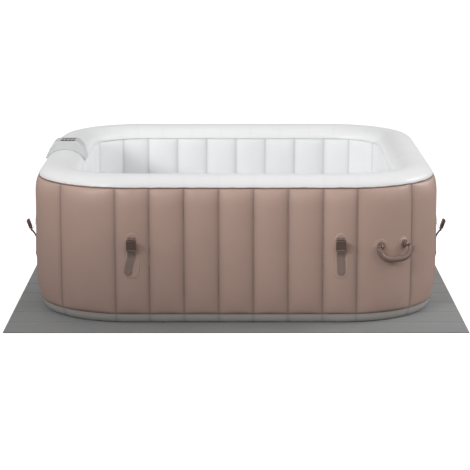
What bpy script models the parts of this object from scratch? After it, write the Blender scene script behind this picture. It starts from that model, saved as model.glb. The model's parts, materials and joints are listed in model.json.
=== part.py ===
"""Square inflatable hot tub on its ground mat, with a built-in pump and heater box.

Units are metres, +Z is up and the tub faces -Y. The origin is on the ground under the centre of the mat.
The walls are one ring: `ring_xy` turns a distance along the ring's outer outline, and a depth inwards from
it, into a place, so every sheet, seam, buckle and port is set out along the same ring.
"""
import math

import bmesh
import bpy
from mathutils import Matrix, Vector

# Driving dimensions
TUB_WIDTH = 1.85
CORNER_RADIUS = 0.45
WALL_THICKNESS = 0.205
PANEL_PITCH = 0.153
RIM_TOP = 0.662
RIM_OUTER_EDGE = 0.612
RIM_INNER_EDGE = 0.600
BAND_TOP = 0.048
MAT_SIZE = (2.03, 2.13, 0.004)

# Sheets and gaps
SHEET = 0.002
GAP = 0.0005
OUTER_DIP = 0.018
EDGE_INSET = 0.024
INNER_DIP = 0.014
WEB_SHEET = 0.0012
WEB_SPAN = (0.170, 0.490)
WALL_FOOT = MAT_SIZE[2] + 2 * SHEET + 3 * GAP

# The ring's outer outline: a straight stretch of FLAT each side of a side's middle, then a round corner
HALF = TUB_WIDTH / 2
FLAT = HALF - CORNER_RADIUS
QUARTER = FLAT + CORNER_RADIUS * math.pi / 4
SIDE_LENGTH = 2 * QUARTER
FRONT, RIGHT, BACK, LEFT = range(4)

# Outer seams along a side, with one more in the middle of each corner, and the inner seams between them
OUTER_STEPS = (0.5, 1.5, 2.5, 3.5)
INNER_STEPS = (0.0, 1.0, 2.0, 3.0)

# Things on the walls
BUCKLE_OFFSET = 3 * PANEL_PITCH
BUCKLE_HEIGHT = 0.343
BUCKLE_TILT = math.radians(20)
BAR_STANDOFF = 0.022
WEBBING = (0.035, 0.0015)
HANDLE_ANGLE = math.radians(29)
HANDLE_HALF_ANGLE = math.radians(7.9)
HANDLE_RADIUS = 0.0130
HANDLE_HEIGHT = 0.352
HANDLE_STANDOFF = 0.014
PORT_OFFSET = PANEL_PITCH / 2
PORT_HEIGHT = 0.20
DRAIN_OFFSET = 0.038
DRAIN_HEIGHT = 0.12
VALVE_OFFSET = -2 * PANEL_PITCH
VALVE_HEIGHT = 0.33
BOX_HALF_WIDTH = 0.200
BOX_DEPTHS = (0.026, 0.184)
BOX_HEIGHTS = (0.062, 0.560)
BOX_WALL = 0.003
AIR_PIPE_OFFSET = 0.150
AIR_PIPE_HEIGHT = 0.028

# The control panel's saddle on the left rim, from its front end to its back end along Y
HUMP_SPAN = (-0.100, 0.030)
PANEL_CROWN = 0.7035
PANEL_WALL = 0.0035
STEM_HALF_DEPTH = 0.025
STEM_SPAN = (-0.005, 0.065)
STEM_PLAY = 0.003
KEY_COUNT = 4
KEY_PITCH = 0.0178
KEY_SIZE = (0.040, 0.0142)
KEY_PLAY = GAP

# The service cover's frame in the outer wall
FRAME_HALF_WIDTH = 0.185
FRAME_HEIGHTS = (0.085, 0.535)
COVER_HALF_WIDTH = 0.1585
COVER_HEIGHTS = (0.1115, 0.5085)
VENT_COUNT = 7
VENT_PITCH = 0.015
GLAND_PLACE = (-0.110, 0.155)


# ---------------------------------------------------------------- materials and small helpers

def make_material(name, colour, roughness, metallic=0.0):
    material = bpy.data.materials.new(name)
    material.use_nodes = True
    shader = material.node_tree.nodes["Principled BSDF"]
    shader.inputs["Base Color"].default_value = (*colour, 1.0)
    shader.inputs["Roughness"].default_value = roughness
    shader.inputs["Metallic"].default_value = metallic
    material.diffuse_color = (*colour, 1.0)
    return material


def add_mesh(name, bm, material, smooth=False):
    """A new object from a bmesh, with its normals pointing out."""
    bmesh.ops.recalc_face_normals(bm, faces=bm.faces)
    mesh = bpy.data.meshes.new(name)
    bm.to_mesh(mesh)
    bm.free()
    if material:
        mesh.materials.append(material)
    obj = bpy.data.objects.new(name, mesh)
    bpy.context.scene.collection.objects.link(obj)
    if smooth:
        mesh.shade_smooth()
        mesh.set_sharp_from_angle(angle=math.radians(35))
    return obj


def add_block(bm, low, high):
    """A box between two corners, added to bm."""
    low, high = Vector(low), Vector(high)
    place = Matrix.Translation((low + high) / 2) @ Matrix.Diagonal((*(high - low), 1.0))
    bmesh.ops.create_cube(bm, size=1.0, matrix=place)


def block(name, low, high, material, bevel=0.0, segments=2):
    bm = bmesh.new()
    add_block(bm, low, high)
    if bevel:
        bmesh.ops.bevel(bm, geom=bm.edges[:], offset=bevel, segments=segments, affect="EDGES",
                        profile=0.5)
    return add_mesh(name, bm, material, smooth=bevel > 0)


def turned(name, profile, material, segments=24):
    """A closed profile of (radius, height) points turned about local Z."""
    bm = bmesh.new()
    rings = []
    for radius, height in profile:
        if radius == 0:
            rings.append([bm.verts.new((0, 0, height))] * segments)
            continue
        turns = [2 * math.pi * k / segments for k in range(segments)]
        rings.append([bm.verts.new((radius * math.cos(a), radius * math.sin(a), height)) for a in turns])
    for first, second in zip(rings, rings[1:] + rings[:1]):
        for k in range(segments):
            after = (k + 1) % segments
            corners = dict.fromkeys((first[k], first[after], second[after], second[k]))
            if len(corners) > 2:
                bm.faces.new(list(corners))
    return add_mesh(name, bm, material, smooth=True)


def tube(name, points, radius, material, sides=2):
    """A solid round rod through the points."""
    curve = bpy.data.curves.new(name, "CURVE")
    curve.dimensions = "3D"
    curve.bevel_depth = radius
    curve.bevel_resolution = sides
    curve.use_fill_caps = True
    spline = curve.splines.new("POLY")
    spline.points.add(len(points) - 1)
    for point, place in zip(spline.points, points):
        point.co = (*place, 1.0)
    curve.materials.append(material)
    obj = bpy.data.objects.new(name, curve)
    bpy.context.scene.collection.objects.link(obj)
    return obj


def smooth_line(points, steps):
    """Points along a smooth curve through the given ones."""
    ends = [points[0] * 2 - points[1], *points, points[-1] * 2 - points[-2]]
    line = []
    for before, here, there, after in zip(ends, ends[1:], ends[2:], ends[3:]):
        for k in range(steps):
            t = k / steps
            line.append(0.5 * (2 * here + (there - before) * t
                               + (2 * before - 5 * here + 4 * there - after) * t * t
                               + (3 * here - before - 3 * there + after) * t ** 3))
    return [*line, points[-1]]


def as_cutter(obj):
    obj.hide_render = True
    obj.display_type = "WIRE"
    return obj


def combine(obj, other, operation="DIFFERENCE"):
    """A Boolean of obj with a helper object, which is then left out of the model."""
    as_cutter(other)
    modifier = obj.modifiers.new(operation.lower(), "BOOLEAN")
    modifier.operation = operation
    modifier.object = other
    modifier.solver = "EXACT"
    return obj


def settle(obj):
    """Turns an object's modifiers into its mesh, so that copies can share it."""
    graph = bpy.context.evaluated_depsgraph_get()
    mesh = bpy.data.meshes.new_from_object(obj.evaluated_get(graph))
    obj.modifiers.clear()
    obj.data = mesh
    return obj


def copy_of(obj, name):
    copy = bpy.data.objects.new(name, obj.data)
    bpy.context.scene.collection.objects.link(copy)
    return copy


# ---------------------------------------------------------------- the ring that everything is set out on

def ring_xy(length, depth=0.0):
    """The place at a distance along the outer outline, from the front's middle, and a depth inwards."""
    side = round(length / SIDE_LENGTH)
    along = length - side * SIDE_LENGTH
    if abs(along) <= FLAT:
        local = Vector((along, depth - HALF, 0))
    else:
        turn = (abs(along) - FLAT) / CORNER_RADIUS
        reach = CORNER_RADIUS - depth
        x = math.copysign(FLAT + reach * math.sin(turn), along)
        local = Vector((x, -FLAT - reach * math.cos(turn), 0))
    return Matrix.Rotation(side * math.pi / 2, 3, "Z") @ local


def ring_frame(side, along, height, depth=0.0):
    """A frame on the wall: local X along the ring, Y straight inwards and Z up."""
    length = side * SIDE_LENGTH + along
    turn = side * math.pi / 2
    if abs(along) > FLAT:
        turn += math.copysign((abs(along) - FLAT) / CORNER_RADIUS, along)
    place = ring_xy(length, depth) + Vector((0, 0, height))
    return Matrix.Translation(place) @ Matrix.Rotation(turn, 4, "Z")


def mount_empty(name, side, along, height, depth=0.0):
    empty = bpy.data.objects.new(name, None)
    empty.empty_display_size = 0.05
    empty.matrix_world = ring_frame(side, along, height, depth)
    bpy.context.scene.collection.objects.link(empty)
    return empty


def fix_to(empty, obj, location=(0, 0, 0), rotation=(0, 0, 0)):
    obj.parent = empty
    obj.location = location
    obj.rotation_euler = rotation
    return obj


def seams(steps, with_corner):
    """Distances of the seams along the whole ring, in order."""
    found = []
    for side in range(4):
        middle = side * SIDE_LENGTH
        for step in steps:
            found += {middle + step * PANEL_PITCH, middle - step * PANEL_PITCH}
        if with_corner:
            found.append(middle + QUARTER)
        else:
            corner = (OUTER_STEPS[-1] * PANEL_PITCH + QUARTER) / 2
            found += [middle + corner, middle - corner]
    return sorted(length % (4 * SIDE_LENGTH) for length in found)


OUTER_SEAMS = seams(OUTER_STEPS, True)
INNER_SEAMS = seams(INNER_STEPS, False)


def panel_stations(seam_list):
    """(distance, bulge) round the ring: the bulge is 0 on a seam and 1 midway between two."""
    stations = []
    whole = 4 * SIDE_LENGTH
    for here, there in zip(seam_list, seam_list[1:] + [seam_list[0] + whole]):
        parts = 4 if there - here > 1.2 * PANEL_PITCH else 2
        for k in range(parts):
            share = k / parts
            stations.append((here + share * (there - here), 1 - (2 * share - 1) ** 2))
    return stations


def plain_stations(corner_parts=8):
    """(distance, 0) round the ring with only what its corners need."""
    stations = []
    for side in range(4):
        for k in range(corner_parts + 1):
            along = FLAT + k * CORNER_RADIUS * math.pi / 2 / corner_parts
            stations.append((side * SIDE_LENGTH + along, 0.0))
    return stations


def ring_sheet(name, stations, profile_at, material):
    """A closed band round the ring. profile_at(bulge) gives its section as (depth, height) points, one face
    of the sheet first and then the other. Both faces are split along matching diagonals, so that a thin
    sheet never cuts through itself where it twists."""
    bm = bmesh.new()
    loops = []
    for length, bulge in stations:
        places = [ring_xy(length, depth) + Vector((0, 0, height)) for depth, height in profile_at(bulge)]
        loops.append([bm.verts.new(place) for place in places])
    rising = [after[1] >= here[1] for here, after in zip(stations, stations[1:] + stations[:1])]
    for here, there, upwards in zip(loops, loops[1:] + loops[:1], rising):
        count = len(here)
        for k in range(count):
            after = (k + 1) % count
            corners = [here[k], here[after], there[after], there[k]]
            if upwards == (k < count / 2):
                corners = corners[1:] + corners[:1]
            bm.faces.new((corners[0], corners[1], corners[2]))
            bm.faces.new((corners[0], corners[2], corners[3]))
    return add_mesh(name, bm, material, smooth=True)


def ring_slab(name, depth, low, high, material):
    """A flat sheet that fills the ring's outline at a depth."""
    bm = bmesh.new()
    outline = [ring_xy(length, depth) for length, _ in plain_stations()]
    loops = [[bm.verts.new(place + Vector((0, 0, height))) for place in outline]
             for height in (low, high)]
    bm.faces.new(loops[0])
    bm.faces.new(loops[1])
    count = len(loops[0])
    for k in range(count):
        after = (k + 1) % count
        bm.faces.new((loops[0][k], loops[0][after], loops[1][after], loops[1][k]))
    return add_mesh(name, bm, material)


# How far a welded panel has filled out at each share of its height: flat on its edges, full in the middle
PANEL_FILL = ((0.0, 0.0), (0.06, 0.6), (0.2, 1.0), (0.8, 1.0), (0.94, 0.6), (1.0, 0.0))


def outer_profile(bulge):
    low, high = BAND_TOP + GAP, RIM_OUTER_EDGE - GAP
    seam = OUTER_DIP * (1 - bulge)
    face = [(EDGE_INSET + (seam - EDGE_INSET) * fill, low + share * (high - low))
            for share, fill in PANEL_FILL]
    return face + [(depth + SHEET, height) for depth, height in reversed(face)]


def inner_profile(bulge):
    low, high = WALL_FOOT, RIM_INNER_EDGE - GAP
    face = [(WALL_THICKNESS - INNER_DIP * (1 - bulge * fill), low + share * (high - low))
            for share, fill in PANEL_FILL]
    return face + [(depth - SHEET, height) for depth, height in reversed(face)]


RIM_DEPTHS = (EDGE_INSET - SHEET, WALL_THICKNESS - INNER_DIP + 3 * SHEET)
RIM_MIDDLE = sum(RIM_DEPTHS) / 2


def rim_arch(inset, swell=0.0, parts=6, start=0.0, end=1.0):
    """The rim's arch as (depth, height) points, moved inwards by inset."""
    outer, inner = RIM_DEPTHS
    middle, reach = RIM_MIDDLE, (inner - outer) / 2
    rise = RIM_TOP - (RIM_OUTER_EDGE + RIM_INNER_EDGE) / 2
    arch = []
    for k in range(parts + 1):
        share = start + (end - start) * k / parts
        turn = math.pi * share
        base = RIM_OUTER_EDGE + (RIM_INNER_EDGE - RIM_OUTER_EDGE) * share
        arch.append((middle - (reach - inset + swell) * math.cos(turn),
                     base + (rise - inset + swell) * math.sin(turn)))
    return arch


# ---------------------------------------------------------------- the sheets

def build_shell(skin):
    width, length, thick = MAT_SIZE
    block("ground_mat", (-width / 2, -length / 2, 0), (width / 2, length / 2, thick), skin["mat"])
    base = thick + GAP
    ring_slab("bottom_sheet", 0.0555, base, base + SHEET, skin["band"])
    floor_low = base + SHEET + GAP
    floor_edge = WALL_THICKNESS - INNER_DIP - SHEET
    ring_slab("tub_floor", floor_edge, floor_low, floor_low + SHEET, skin["white"])

    def band_profile(_):
        face = [(0.052, base), (0.042, base + 0.004), (0.032, base + 0.018),
                (EDGE_INSET + SHEET, BAND_TOP)]
        return face + [(depth + SHEET, height) for depth, height in reversed(face)]

    ring_sheet("base_band", plain_stations(), band_profile, skin["band"])
    outer = ring_sheet("outer_wall", panel_stations(OUTER_SEAMS), outer_profile, skin["brown"])
    inner = ring_sheet("inner_wall", panel_stations(INNER_SEAMS), inner_profile, skin["white"])
    arch = rim_arch(0.0) + rim_arch(SHEET)[::-1]
    rim = ring_sheet("top_rim", plain_stations(), lambda _: arch, skin["white"])
    return outer, inner, rim


def build_air_ring(skin):
    """The flat air channel round the foot of the inner wall, which the bubbles come out of."""
    low = WALL_FOOT
    reach, height, foot = 0.034, 0.046, 0.012
    start = WALL_THICKNESS + GAP

    def profile(_):
        turns = [math.pi / 2 * k / 3 for k in range(4)]
        face = [(start + reach * math.sin(a), low + foot + (height - foot) * math.cos(a)) for a in turns]
        face.append((start + reach, low))
        back = [(start + (reach - SHEET) * math.sin(a), low + foot + (height - foot - SHEET) * math.cos(a))
                for a in reversed(turns)]
        return face + [(start + reach - SHEET, low), *back]

    ring_sheet("air_ring", plain_stations(), profile, skin["white"])


def build_web(skin):
    """One pleated sheet that ties the outer seams to the inner ones. It stops beside the control box."""
    fold_gap = 0.0022
    outer_fold = OUTER_DIP + SHEET + fold_gap
    inner_fold = WALL_THICKNESS - INNER_DIP - SHEET - fold_gap
    whole = 4 * SIDE_LENGTH
    folds = [(length, outer_fold) for length in OUTER_SEAMS]
    folds += [(length, inner_fold) for length in INNER_SEAMS]
    start = LEFT * SIDE_LENGTH + OUTER_STEPS[1] * PANEL_PITCH
    end = start + whole - 2 * OUTER_STEPS[1] * PANEL_PITCH
    shifted = sorted(((length - start + 1e-6) % whole + start, depth) for length, depth in folds)
    line = [ring_xy(length % whole, depth) for length, depth in shifted if length <= end + 1e-3]

    sides = ([], [])
    for k, place in enumerate(line):
        ahead = (line[min(k + 1, len(line) - 1)] - line[min(k, len(line) - 2)]).normalized()
        behind = (line[max(k, 1)] - line[max(k - 1, 0)]).normalized()
        across = [Vector((-d.y, d.x, 0)) for d in (behind, ahead)]
        mitre = (across[0] + across[1]) / (1 + across[0].dot(across[1]))
        for side, sign in zip(sides, (1, -1)):
            side.append(place + mitre * sign * WEB_SHEET / 2)
    outline = sides[0] + sides[1][::-1]
    bm = bmesh.new()
    loops = [[bm.verts.new(place + Vector((0, 0, height))) for place in outline] for height in WEB_SPAN]
    count = len(line)
    for k in range(2 * count):
        after = (k + 1) % (2 * count)
        bm.faces.new((loops[0][k], loops[0][after], loops[1][after], loops[1][k]))
    for loop in loops:
        for k in range(count - 1):
            bm.faces.new((loop[k], loop[k + 1], loop[2 * count - 2 - k], loop[2 * count - 1 - k]))
    add_mesh("wall_web", bm, skin["white"])


def rod_cutter(name, side, along, height, radius, low, high, segments=24):
    """A round cutter through the wall, from one depth to another."""
    cutter = turned(name, [(0, low), (radius, low), (radius, high), (0, high)], None, segments)
    cutter.matrix_world = ring_frame(side, along, height) @ Matrix.Rotation(-math.pi / 2, 4, "X")
    return cutter


def box_cutter(name, low, high):
    """A box-shaped cutter in the left wall, in the frame of that wall's middle."""
    cutter = block(name, low, high, None)
    cutter.matrix_world = ring_frame(LEFT, 0, 0)
    return cutter


def turned_on_wall(name, empty, profile, material, segments=24):
    """A turned piece whose axis runs into the wall: heights in its profile are depths."""
    return fix_to(empty, turned(name, profile, material, segments), rotation=(-math.pi / 2, 0, 0))


# ---------------------------------------------------------------- the lid buckles

def webbing_path():
    """(inwards, up) points of the webbing: from its top end, round the buckle's bar, to its bottom end."""
    on_wall = -GAP - WEBBING[1] / 2
    tilt = Matrix.Rotation(BUCKLE_TILT, 2)
    bar = Vector((-BAR_STANDOFF, 0))
    wrap = 0.0035
    round_bar = [Vector((-wrap * math.sin(a), wrap * math.cos(a))) for a in
                 [math.pi * k / 4 for k in range(5)]]
    upper = [(on_wall, 0.054), (on_wall, 0.034), (-0.0055, 0.0235), (-0.0165, 0.0080)]
    lower = [(-0.0165, -0.0080), (-0.0055, -0.0235), (on_wall, -0.0370), (on_wall, -0.116)]
    return [*map(Vector, upper), *(bar + tilt @ point for point in round_bar), *map(Vector, lower)]


def webbing_mesh(skin):
    """The webbing as a flat ribbon with cut-off corners at its two ends."""
    width, thick = WEBBING
    line = webbing_path()
    bm = bmesh.new()
    rows = []
    for k, place in enumerate(line):
        ahead = (line[min(k + 1, len(line) - 1)] - line[max(k - 1, 0)]).normalized()
        across = Vector((-ahead.y, ahead.x)) * thick / 2
        half = width / 2
        rows.append([bm.verts.new((x, *(place + across * s))) for x, s in
                     ((-half, -1), (half, -1), (half, 1), (-half, 1))])
    for here, there in zip(rows, rows[1:]):
        for k in range(4):
            after = (k + 1) % 4
            bm.faces.new((here[k], here[after], there[after], there[k]))
    bm.faces.new(rows[0])
    bm.faces.new(rows[-1])
    return add_mesh("buckle_webbing", bm, skin["strap"], smooth=True)


def socket_mesh(skin):
    """The lid buckle's socket: an open-mouthed body over the bar that the webbing wraps.

    Its origin is on the bar.
    """
    half, slot, mouth = 0.0220, 0.0185, 0.0170
    body = block("buckle_socket", (-half, -0.006, 0.0085), (half, 0.006, 0.050), skin["buckle"], 0.002, 1)
    loop = block("socket_loop", (-half, -0.0018, -0.0018), (half, 0.0018, 0.012), None)
    combine(body, loop, "UNION")
    combine(body, block("socket_slot", (-slot, -0.01, 0.0016), (slot, 0.01, 0.0080), None))
    combine(body, block("socket_mouth", (-mouth, -0.0038, 0.020), (mouth, 0.0038, 0.060), None))
    combine(body, block("socket_windows", (-0.03, -0.0026, 0.022), (0.03, 0.0026, 0.036), None))
    return settle(body)


def build_buckles(skin):
    webbing, socket = webbing_mesh(skin), socket_mesh(skin)
    for side, side_name in enumerate(("front", "right", "back", "left")):
        for along, place in ((-BUCKLE_OFFSET, "a"), (BUCKLE_OFFSET, "b")):
            empty = mount_empty(f"buckle_mount_{side_name}_{place}", side, along, BUCKLE_HEIGHT)
            fix_to(empty, copy_of(webbing, f"buckle_strap_{side_name}_{place}"))
            fix_to(empty, copy_of(socket, f"buckle_socket_{side_name}_{place}"), (0, -BAR_STANDOFF, 0),
                   (BUCKLE_TILT, 0, 0))
    for pattern in (webbing, socket):
        bpy.data.objects.remove(pattern)


# ---------------------------------------------------------------- the carrying handles

def handle_mesh(skin):
    """A moulded loop that hangs below its hinge line, which is local X through the origin."""
    bends = ((0.0855, -0.0060, -0.0040), (0.0825, -0.0100, -0.0200), (0.0700, -0.0150, -0.0410),
             (0.0470, -0.0195, -0.0540), (0.0220, -0.0210, -0.0580))
    half = [Vector(bend) for bend in bends]
    mirrored = [Vector((-p.x, p.y, p.z)) for p in half]
    line = smooth_line(mirrored + half[::-1], 2)
    grip = tube("handle_grip", line, HANDLE_RADIUS, skin["trim"], sides=2)
    graph = bpy.context.evaluated_depsgraph_get()
    mesh = bpy.data.meshes.new_from_object(grip.evaluated_get(graph))
    bpy.data.objects.remove(grip)
    loop = bpy.data.objects.new("handle_loop", mesh)
    bpy.context.scene.collection.objects.link(loop)
    weld = loop.modifiers.new("weld", "WELD")
    weld.merge_threshold = 0.00001
    for sign in (1, -1):
        profile = [(0, 0.0540), (0.004, 0.0540), (0.004, 0.0700), (0.006, 0.0700), (0.006, 0.0880),
                   (0, 0.0880)]
        pin = turned("handle_pin", profile, None, 12)
        pin.rotation_euler = (0, sign * math.pi / 2, 0)
        combine(loop, pin, "UNION")
    return settle(loop)


def anchor_mesh(skin):
    """A patch on the wall with a lug that holds one end of a handle."""
    patch = block("handle_anchor", (-0.018, -0.0035, -0.020), (0.018, -GAP, 0.026), skin["trim"])
    lug = turned("anchor_lug", [(0, -0.005), (0.0105, -0.005), (0.0105, 0.005), (0, 0.005)], None, 16)
    lug.rotation_euler = (0, math.pi / 2, 0)
    lug.location = (0, -HANDLE_STANDOFF, 0)
    combine(patch, lug, "UNION")
    neck = block("anchor_neck", (-0.005, -HANDLE_STANDOFF, -0.0105), (0.005, -0.002, 0.0105), None)
    combine(patch, neck, "UNION")
    bore = turned("anchor_bore", [(0, -0.03), (0.0062, -0.03), (0.0062, 0.03), (0, 0.03)], None, 12)
    bore.rotation_euler = (0, math.pi / 2, 0)
    bore.location = (0, -HANDLE_STANDOFF, 0)
    combine(patch, bore)
    return settle(patch)


def build_handles(skin):
    handle, anchor = handle_mesh(skin), anchor_mesh(skin)
    middle = FLAT + HANDLE_ANGLE * CORNER_RADIUS
    spread = HANDLE_HALF_ANGLE * CORNER_RADIUS
    sag = CORNER_RADIUS * (1 - math.cos(HANDLE_HALF_ANGLE))
    hinge_y = sag - HANDLE_STANDOFF * math.cos(HANDLE_HALF_ANGLE)
    for side, side_name in ((FRONT, "front"), (BACK, "back")):
        empty = mount_empty(f"handle_mount_{side_name}", side, middle, HANDLE_HEIGHT)
        fix_to(empty, copy_of(handle, f"{side_name}_handle"), (0, hinge_y, 0))
        for sign, place in ((-1, "left"), (1, "right")):
            spot = mount_empty(f"anchor_mount_{side_name}_{place}", side, middle + sign * spread,
                               HANDLE_HEIGHT)
            fix_to(spot, copy_of(anchor, f"{side_name}_handle_anchor_{place}"))
    for pattern in (handle, anchor):
        bpy.data.objects.remove(pattern)


# ---------------------------------------------------------------- the control panel on the rim

def stem_slot(name, low, high):
    """The way through a sheet for the panel's stem."""
    half = STEM_HALF_DEPTH + STEM_PLAY
    return box_cutter(name, (STEM_SPAN[0] - STEM_PLAY, RIM_MIDDLE - half, low),
                      (STEM_SPAN[1] + STEM_PLAY, RIM_MIDDLE + half, high))


def build_panel(skin, rim):
    """The saddle over the left rim, with its keys and display. Local X runs along the rim, to the front."""
    empty = mount_empty("panel_mount", LEFT, 0.0, 0.0)
    crown, centre = PANEL_CROWN, RIM_MIDDLE
    room_low, room_high = centre - 0.044, centre + 0.052
    upper = [(centre - 0.0985, 0.620), (centre - 0.083, 0.655), (centre - 0.066, 0.687),
             (centre - 0.050, 0.7005), (room_low, crown), (room_high, crown), (centre + 0.060, 0.700),
             (centre + 0.076, 0.683), (centre + 0.090, 0.650), (centre + 0.0965, 0.612)]
    lower = rim_arch(0.0, swell=0.001, parts=10, start=0.06, end=0.95)
    outline = upper + lower[::-1]
    bm = bmesh.new()
    near, far = -HUMP_SPAN[1], -HUMP_SPAN[0]
    loops = [[bm.verts.new((x, depth, height)) for depth, height in outline] for x in (near, far)]
    bm.faces.new(loops[0])
    bm.faces.new(loops[1])
    for k in range(len(outline)):
        after = (k + 1) % len(outline)
        bm.faces.new((loops[0][k], loops[0][after], loops[1][after], loops[1][k]))
    housing = add_mesh("panel_housing", bm, skin["panel"])
    stem_low = (STEM_SPAN[0], centre - STEM_HALF_DEPTH, BOX_HEIGHTS[1] - 0.030)
    stem = block("panel_stem", stem_low, (STEM_SPAN[1], centre + STEM_HALF_DEPTH, 0.680), None)
    fix_to(empty, stem)
    combine(housing, stem, "UNION")
    fix_to(empty, housing)
    combine(housing, box_cutter("panel_room", (near + PANEL_WALL, room_low, RIM_TOP + 0.006),
                                (far - PANEL_WALL, room_high, crown - PANEL_WALL)))
    duct_wall = 0.005
    duct_depth = STEM_HALF_DEPTH - duct_wall
    combine(housing, box_cutter("stem_duct", (STEM_SPAN[0] + duct_wall, centre - duct_depth, 0.50),
                                (STEM_SPAN[1] - duct_wall, centre + duct_depth, 0.675)))
    combine(rim, stem_slot("rim_stem_slot", 0.58, 0.70))

    key_length, key_width = KEY_SIZE
    key_centre = (room_low + room_high) / 2 + 0.0045
    key_middle = far - 0.008 - key_length / 2
    key_depths = [key_centre + (k - (KEY_COUNT - 1) / 2) * KEY_PITCH for k in range(KEY_COUNT)]
    for k, depth in enumerate(key_depths):
        reach, rise = key_length / 2 + KEY_PLAY, key_width / 2 + KEY_PLAY
        well = box_cutter(f"key_well_{k}", (key_middle - reach, depth - rise, crown - 0.01),
                          (key_middle + reach, depth + rise, crown + 0.01))
        combine(housing, well)
        key = block(f"control_key_{k + 1}", (-key_length / 2, -key_width / 2, -0.0040),
                    (key_length / 2, key_width / 2, 0.0025), skin["key"], 0.0012)
        fix_to(empty, key, (key_middle, depth, crown))
    board = block("key_board", (near + 0.010, room_low + 0.004, crown - 0.0095),
                  (far - 0.008, room_high - 0.004, crown - 0.008), skin["board"])
    dome_profile = [(0, -0.0088), (0.004, -0.0088), (0.0025, -0.0058), (0, -0.0058)]
    for k, depth in enumerate(key_depths):
        dome = turned(f"key_dome_{k}", dome_profile, None, 12)
        fix_to(empty, dome, (key_middle, depth, crown))
        combine(board, dome, "UNION")
    fix_to(empty, board)
    glass_low = (near + 0.022, key_centre - 0.034, crown - 0.0025)
    glass_high = (near + 0.054, key_centre + 0.034, crown + 0.0006)
    well = box_cutter("glass_well", [v - GAP for v in glass_low],
                      (glass_high[0] + GAP, glass_high[1] + GAP, crown + 0.01))
    combine(housing, well)
    fix_to(empty, block("display_window", glass_low, glass_high, skin["key"]))


# ---------------------------------------------------------------- the control box in the left wall

def build_control_box(skin, outer, inner):
    empty = mount_empty("box_mount", LEFT, 0.0, 0.0)
    low = Vector((-BOX_HALF_WIDTH, BOX_DEPTHS[0], BOX_HEIGHTS[0]))
    high = Vector((BOX_HALF_WIDTH, BOX_DEPTHS[1], BOX_HEIGHTS[1]))
    wall = Vector((BOX_WALL,) * 3)
    case = fix_to(empty, block("control_box_case", low, high, skin["dark"]))
    combine(case, box_cutter("case_room", low + wall, high - wall))
    combine(case, box_cutter("case_window", (-0.150, 0.0, 0.120), (0.150, 0.05, 0.500)))
    combine(case, stem_slot("case_stem_slot", 0.54, 0.60))
    for along in (PORT_OFFSET, -PORT_OFFSET):
        combine(case, rod_cutter("case_port", LEFT, along, PORT_HEIGHT, 0.018, 0.16, 0.19))
        combine(inner, rod_cutter("wall_port", LEFT, along, PORT_HEIGHT, 0.022, 0.17, 0.23))
    combine(case, box_cutter("case_air_hole", (AIR_PIPE_OFFSET - 0.018, 0.068, 0.05),
                             (AIR_PIPE_OFFSET + 0.018, 0.112, 0.08)))
    combine(inner, rod_cutter("wall_air_hole", LEFT, AIR_PIPE_OFFSET, AIR_PIPE_HEIGHT,
                              0.0135, 0.17, 0.23, 12))

    window = ((-0.165, -0.03, 0.105), (0.165, 0.0235, 0.515))
    combine(outer, box_cutter("service_window", *window))
    frame = block("service_frame", (-FRAME_HALF_WIDTH, -0.0060, FRAME_HEIGHTS[0]),
                  (FRAME_HALF_WIDTH, -GAP, FRAME_HEIGHTS[1]), skin["panel"], 0.002)
    fix_to(empty, frame)
    sleeve = block("frame_sleeve", (-0.1630, -0.003, 0.1070), (0.1630, 0.0250, 0.5130), None)
    combine(frame, fix_to(empty, sleeve), "UNION")
    combine(frame, box_cutter("frame_opening", (-0.1590, -0.02, 0.1110), (0.1590, 0.04, 0.5090)))
    cover = block("service_cover", (-COVER_HALF_WIDTH, -0.0030, COVER_HEIGHTS[0]),
                  (COVER_HALF_WIDTH, 0.0005, COVER_HEIGHTS[1]), skin["panel"])
    fix_to(empty, cover)
    for k in range(VENT_COUNT):
        height = 0.38 + VENT_PITCH * k
        slot = box_cutter(f"vent_slot_{k}", (0.030, -0.02, height), (0.135, 0.02, height + 0.006))
        combine(cover, slot)
    combine(cover, rod_cutter("gland_hole", LEFT, *GLAND_PLACE, 0.0105, -0.02, 0.02))
    gland_empty = mount_empty("gland_mount", LEFT, *GLAND_PLACE)
    gland = [(0.0040, -0.030), (0.0075, -0.030), (0.0090, -0.012), (0.0150, -0.012), (0.0150, -0.0035),
             (0.0100, -0.0035), (0.0100, 0.0140), (0.0040, 0.0140)]
    turned_on_wall("cable_gland", gland_empty, gland, skin["dark"])


def vane_ring(name, hub_profile, vane_low, vane_high, count, material):
    """A turned wheel with flat vanes round it, turning about local Z."""
    wheel = turned(name, hub_profile, material, 24)
    for k in range(count):
        vane = block(f"{name}_vane", vane_low, vane_high, None)
        vane.rotation_euler = (0, 0, 2 * math.pi * k / count)
        combine(wheel, vane, "UNION")
    return settle(wheel)


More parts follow.
